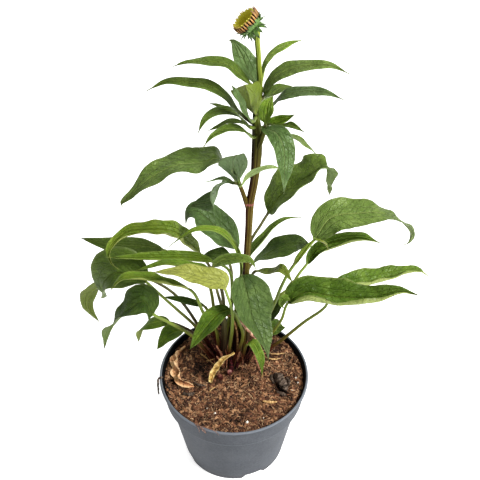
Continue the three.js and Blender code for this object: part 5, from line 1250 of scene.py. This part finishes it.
litter = {  # colour, radius and points on the soil
    "sticks": [
        ("pale", 0.9, [(-40, 33, 121), (-32, 25, 121.5), (-23, 16.5, 120.5)]),
        ("pale", 0.8, [(-28, -22.5, 119), (-23, -17.5, 119.8), (-18, -14, 119.2)]),
        ("pink", 0.7, [(-34, 47, 131), (-29, 34, 126), (-22, 18, 120)]),
        ("pink", 0.8, [(-22, 44, 137), (-21, 34, 128), (-16, 22, 120)]),
        ("pink", 0.6, [(-28, 44, 128), (-18, 30, 124), (-12, 18, 120)]),
        ("pink", 0.8, [(-10, 18, 146), (-8, 15, 134), (-9, 10, 121)]),
        ("pink", 0.7, [(6, 14, 150), (10, 11, 136), (9, 6, 121)]),
        ("pink", 0.6, [(22, 20, 138), (26, 14, 128), (31, 6, 120)]),
        ("pale", 0.7, [(-33, 22, 119), (-24, 21, 124), (-13, 21, 128)]),
        ("pale", 0.7, [(-30, 40, 121), (-22, 33, 128), (-13, 27, 130)]),
        ("pale", 0.6, [(-36, 27, 120), (-30, 32, 123), (-24, 36, 122)]),
        ("pale", 1.0, [(36, 26, 121), (45, 22, 123), (54, 25, 120.5)]),
        ("pale", 0.9, [(40, 33, 120.5), (50, 30, 122.5), (60, 34, 120)]),
        ("dark", 1.6, [(-46, -8, 119), (-40, -14, 121), (-31, -14, 119)]),
        ("dark", 2.2, [(-58, -24, 119), (-50, -28, 121), (-44, -24, 119)]),
        ("dark", 2.0, [(44, 4, 117), (43, -4, 119), (46, -10, 118)]),
        ("dark", 1.8, [(60, 0, 117), (63, -8, 119.5), (62, -15, 118)]),
        ("dark", 2.2, [(48, -20, 116.5), (54, -25, 118.5), (60, -26, 117.5)]),
        ("wine", 2.2, [(-14, 30, 113), (-15, 36, 122), (-17, 45, 133)]),
        ("wine", 1.9, [(-10, 27, 113), (-10, 33, 122), (-13, 40, 131)]),
        ("wine", 2.3, [(-2, 6, 113), (-3, 11, 122), (-4, 20, 138)]),
        ("wine", 1.9, [(3, 12, 113), (4, 14, 124), (6, 20, 142)]),
        ("tan", 1.1, [(-22, 23, 116), (-26, 33, 126), (-33, 46, 137)]),
        ("pink", 1.0, [(-24, 21, 116), (-32, 30, 124), (-43, 38, 130)]),
        ("tan", 1.0, [(0, 14, 116), (4, 17, 150), (2, 24, 178), (-4, 30, 188), (-10, 33, 186)]),
        ("olive", 1.1, [(-16, 36, 114), (-18, 40, 134), (-21, 46, 152)]),
        ("dark", 1.15,
         [(-85.9, -19, 109), (-86.3, -13, 119), (-85.9, -9, 125.8), (-82.5, -7.2, 125.6), (-80.5, -6, 124)]),
    ],
    "fibres": [
        ("fibre", 0.5, [(-46, -66, 121), (-42, -71.6, 125.6), (-33, -78.6, 125.5), (-30, -81.5, 121)]),
        ("fibre", 0.45, [(-40, -67, 121), (-38, -73.9, 125.6), (-34, -79.3, 124), (-30, -80.2, 119)]),
        ("fibre", 0.4, [(-36, -74.5, 125.6), (-27, -78.3, 125.6), (-20, -81.4, 125.3), (-16, -84.6, 122)]),
        ("fibre", 0.35, [(-44, -69.5, 125), (-39, -76.1, 124.6), (-37.6, -77.5, 120), (-38.4, -76.0, 116)]),
    ],
    "pebbles": [(-21, -51, 1.4), (14.6, -64, 1.7), (66, -18, 0.9), (71, -1.1, 1.2), (73, -8, 1.1), (-30, -44, 0.8),
                (33, -58, 0.8)],
}
litterColours = {
    "pale": ("#8a6a44", "#c4a06c", "#dfc396"), "pink": ("#7a4a38", "#b07a5c", "#cc9c80"),
    "dark": ("#241b15", "#4c3e33", "#7a6a5c"), "fibre": ("#563c32", "#846658", "#a48674"),
    "pebble": ("#b8b0a0", "#dcd6ca", "#efebe2"), "maroon": ("#240c08", "#4c1e16", "#743a2a"),
    "tan": ("#5c3c22", "#8c6840", "#b08e62"), "wine": ("#22060a", "#4c1018", "#84383c"),
    "olive": ("#565a20", "#7c8232", "#9aa04a"),
}


oldStalks = {  # dead stalk bases between the fresh ones
    "count": 54, "crown": (0, 30), "reach": (25, 15), "height": (14, 66), "lean": 0.45, "radius": (0.9, 1.9),
    "bottom": 111, "seed": 21, "colours": ["maroon", "maroon", "wine", "pink", "tan"],
}


def woodMaterial(name, colours, grain=1.0):  # broken wood and bark: matt, with fibres along the grain
    material, put = newMaterial(name)
    size = put("Attribute", attribute_name="bladeSize")
    streak = put("Mapping", {"Vector": put("TexCoord").outputs["Object"], "Scale": (500.0, 900.0, 900.0)})
    fibre = put("TexNoise", {"Vector": streak, "Scale": grain, "Detail": 4.0, "Roughness": 0.7})
    cloud = put("TexNoise", {"Vector": size.outputs["Vector"], "Scale": 0.4, "Detail": 2.0})
    mixed = put("MULTIPLY_ADD", fibre, 0.6, cloud)
    colour = put("ValToRGB", mixed, stops=[(0.6, colours[0]), (0.8, colours[1]), (1.0, colours[2])])
    return closeMaterial(material, put, colour, 0.85, fibre, (0.8, 0.5))


def stubMaterial():  # a stalk cut with a blade: red skin round a pink, paler-hearted face
    material, put = newMaterial("cutStalk")
    face = put("MapRange", put("SeparateXYZ", put("NewGeometry").outputs["Normal"]).outputs[2], 0.55, 0.7)
    fleck = put("TexNoise", {"Vector": put("TexCoord").outputs["Object"], "Scale": 900.0, "Detail": 2.0})
    skin = put("ValToRGB", fleck, stops=[(0.35, "#34120e"), (0.7, "#642e26")])
    heart = put("ValToRGB", fleck, stops=[(0.35, "#6e3a34"), (0.65, "#a06a5e")])
    colour = put("Mix RGBA", face, skin, heart)
    return closeMaterial(material, put, colour, 0.6, fleck, (0.5, 0.4))


noise.seed_set(3)  # roughen gives the same shapes in every run


def roughen(mesh, depth, size):  # pushes a mesh about by a noise of a size in mm
    for vertex in mesh.vertices:
        vertex.co += noise.noise_vector(vertex.co / (size * mm)) * depth * mm


def settle(mesh, node):  # lowers a mesh until it lies as low as the node that it stands for
    lowest = min(vertex.co.z for vertex in mesh.vertices)
    mesh.transform(Matrix.Translation((0, 0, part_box(node)[0][2] - lowest)))


for node, leaf in dryLeaves.items():
    tree = leafShape(node, dryLeafMaterial("dead" + camelName(node)[3:], leaf["colours"]))
    mesh = leafMesh(leaf, tree, leaf["seed"])
    if not leaf.get("held"):
        settle(mesh, node)
    standFor(showPiece(camelName(node), mesh), leaf["slot"], node)
stubTree = leafShape("stubSkin", stubMaterial())
for node, stub in stubs.items():
    mesh = stemMesh(stub["path"], stub["radii"], stubTree, 24, 0.5)
    standFor(showPiece(camelName(node), mesh), "stub", node)
for node, chip in chips.items():
    tree = leafShape(camelName(node) + "Skin", woodMaterial(camelName(node) + "Wood", chip["colours"]))
    mesh = stemMesh(chip["path"], chip["radii"], tree, 32, 0.6)
    roughen(mesh, chip["grain"], chip["grainSize"])
    settle(mesh, node)
    standFor(showPiece(camelName(node), mesh), chip["slot"], node)
stickTrees = {name: leafShape(name + "Stick", woodMaterial(name + "Litter", colours))
              for name, colours in litterColours.items()}
meshes = []
for colour, radius, path in litter["sticks"]:
    radii = [radius * share for share in [0.6] + [1.0] * (len(path) - 2) + [0.5]]
    mesh = stemMesh(path, radii, stickTrees[colour], 8, 1.2)
    roughen(mesh, 0.5 * radius, 3.0)
    meshes.append(mesh)
for colour, radius, path in litter["fibres"]:
    radii = [radius * share for share in [0.5] + [1.0] * (len(path) - 2) + [0.4]]
    meshes.append(stemMesh(path, radii, stickTrees[colour], 6, 1.0))
random.seed(oldStalks["seed"])
for i in range(oldStalks["count"]):
    angle, share = random.uniform(0, circle), random.uniform(0.25, 1) ** 0.5
    side = Vector((math.cos(angle) * share, math.sin(angle) * share, 0))
    foot = Vector((*oldStalks["crown"], oldStalks["bottom"]))
    foot += Vector((side.x * oldStalks["reach"][0], side.y * oldStalks["reach"][1], 0))
    height = lerp(*oldStalks["height"], random.random() ** 1.6)
    lean = side * (height * oldStalks["lean"]) + Vector((random.uniform(-3, 3), random.uniform(-3, 3), 0))
    up = Vector((0, 0, height))
    radius = random.uniform(*oldStalks["radius"])
    colour = random.choice(oldStalks["colours"])
    mesh = stemMesh([foot, foot + 0.45 * up + 0.35 * lean, foot + up + lean], [radius, radius * 0.9, radius * 0.45],
                    stickTrees[colour], 8, 1.5)
    roughen(mesh, 0.4 * radius, 5.0)
    meshes.append(mesh)
for x, y, radius in litter["pebbles"]:
    z = soilHeight(x, y) + 0.8 + 0.4 * radius
    mesh = stemMesh([(x - radius, y, z), (x - radius * 0.4, y, z), (x + radius * 0.4, y, z), (x + radius, y, z)],
                    [radius * 0.5, radius, radius * 0.95, radius * 0.5], stickTrees["pebble"], 12, radius * 0.2)
    roughen(mesh, 0.35 * radius, 1.5 * radius)
    meshes.append(mesh)
standFor(joinMeshes("litter", meshes), "soil")
print("litter:", len(litter["sticks"]), "sticks", len(litter["pebbles"]), "pebbles")

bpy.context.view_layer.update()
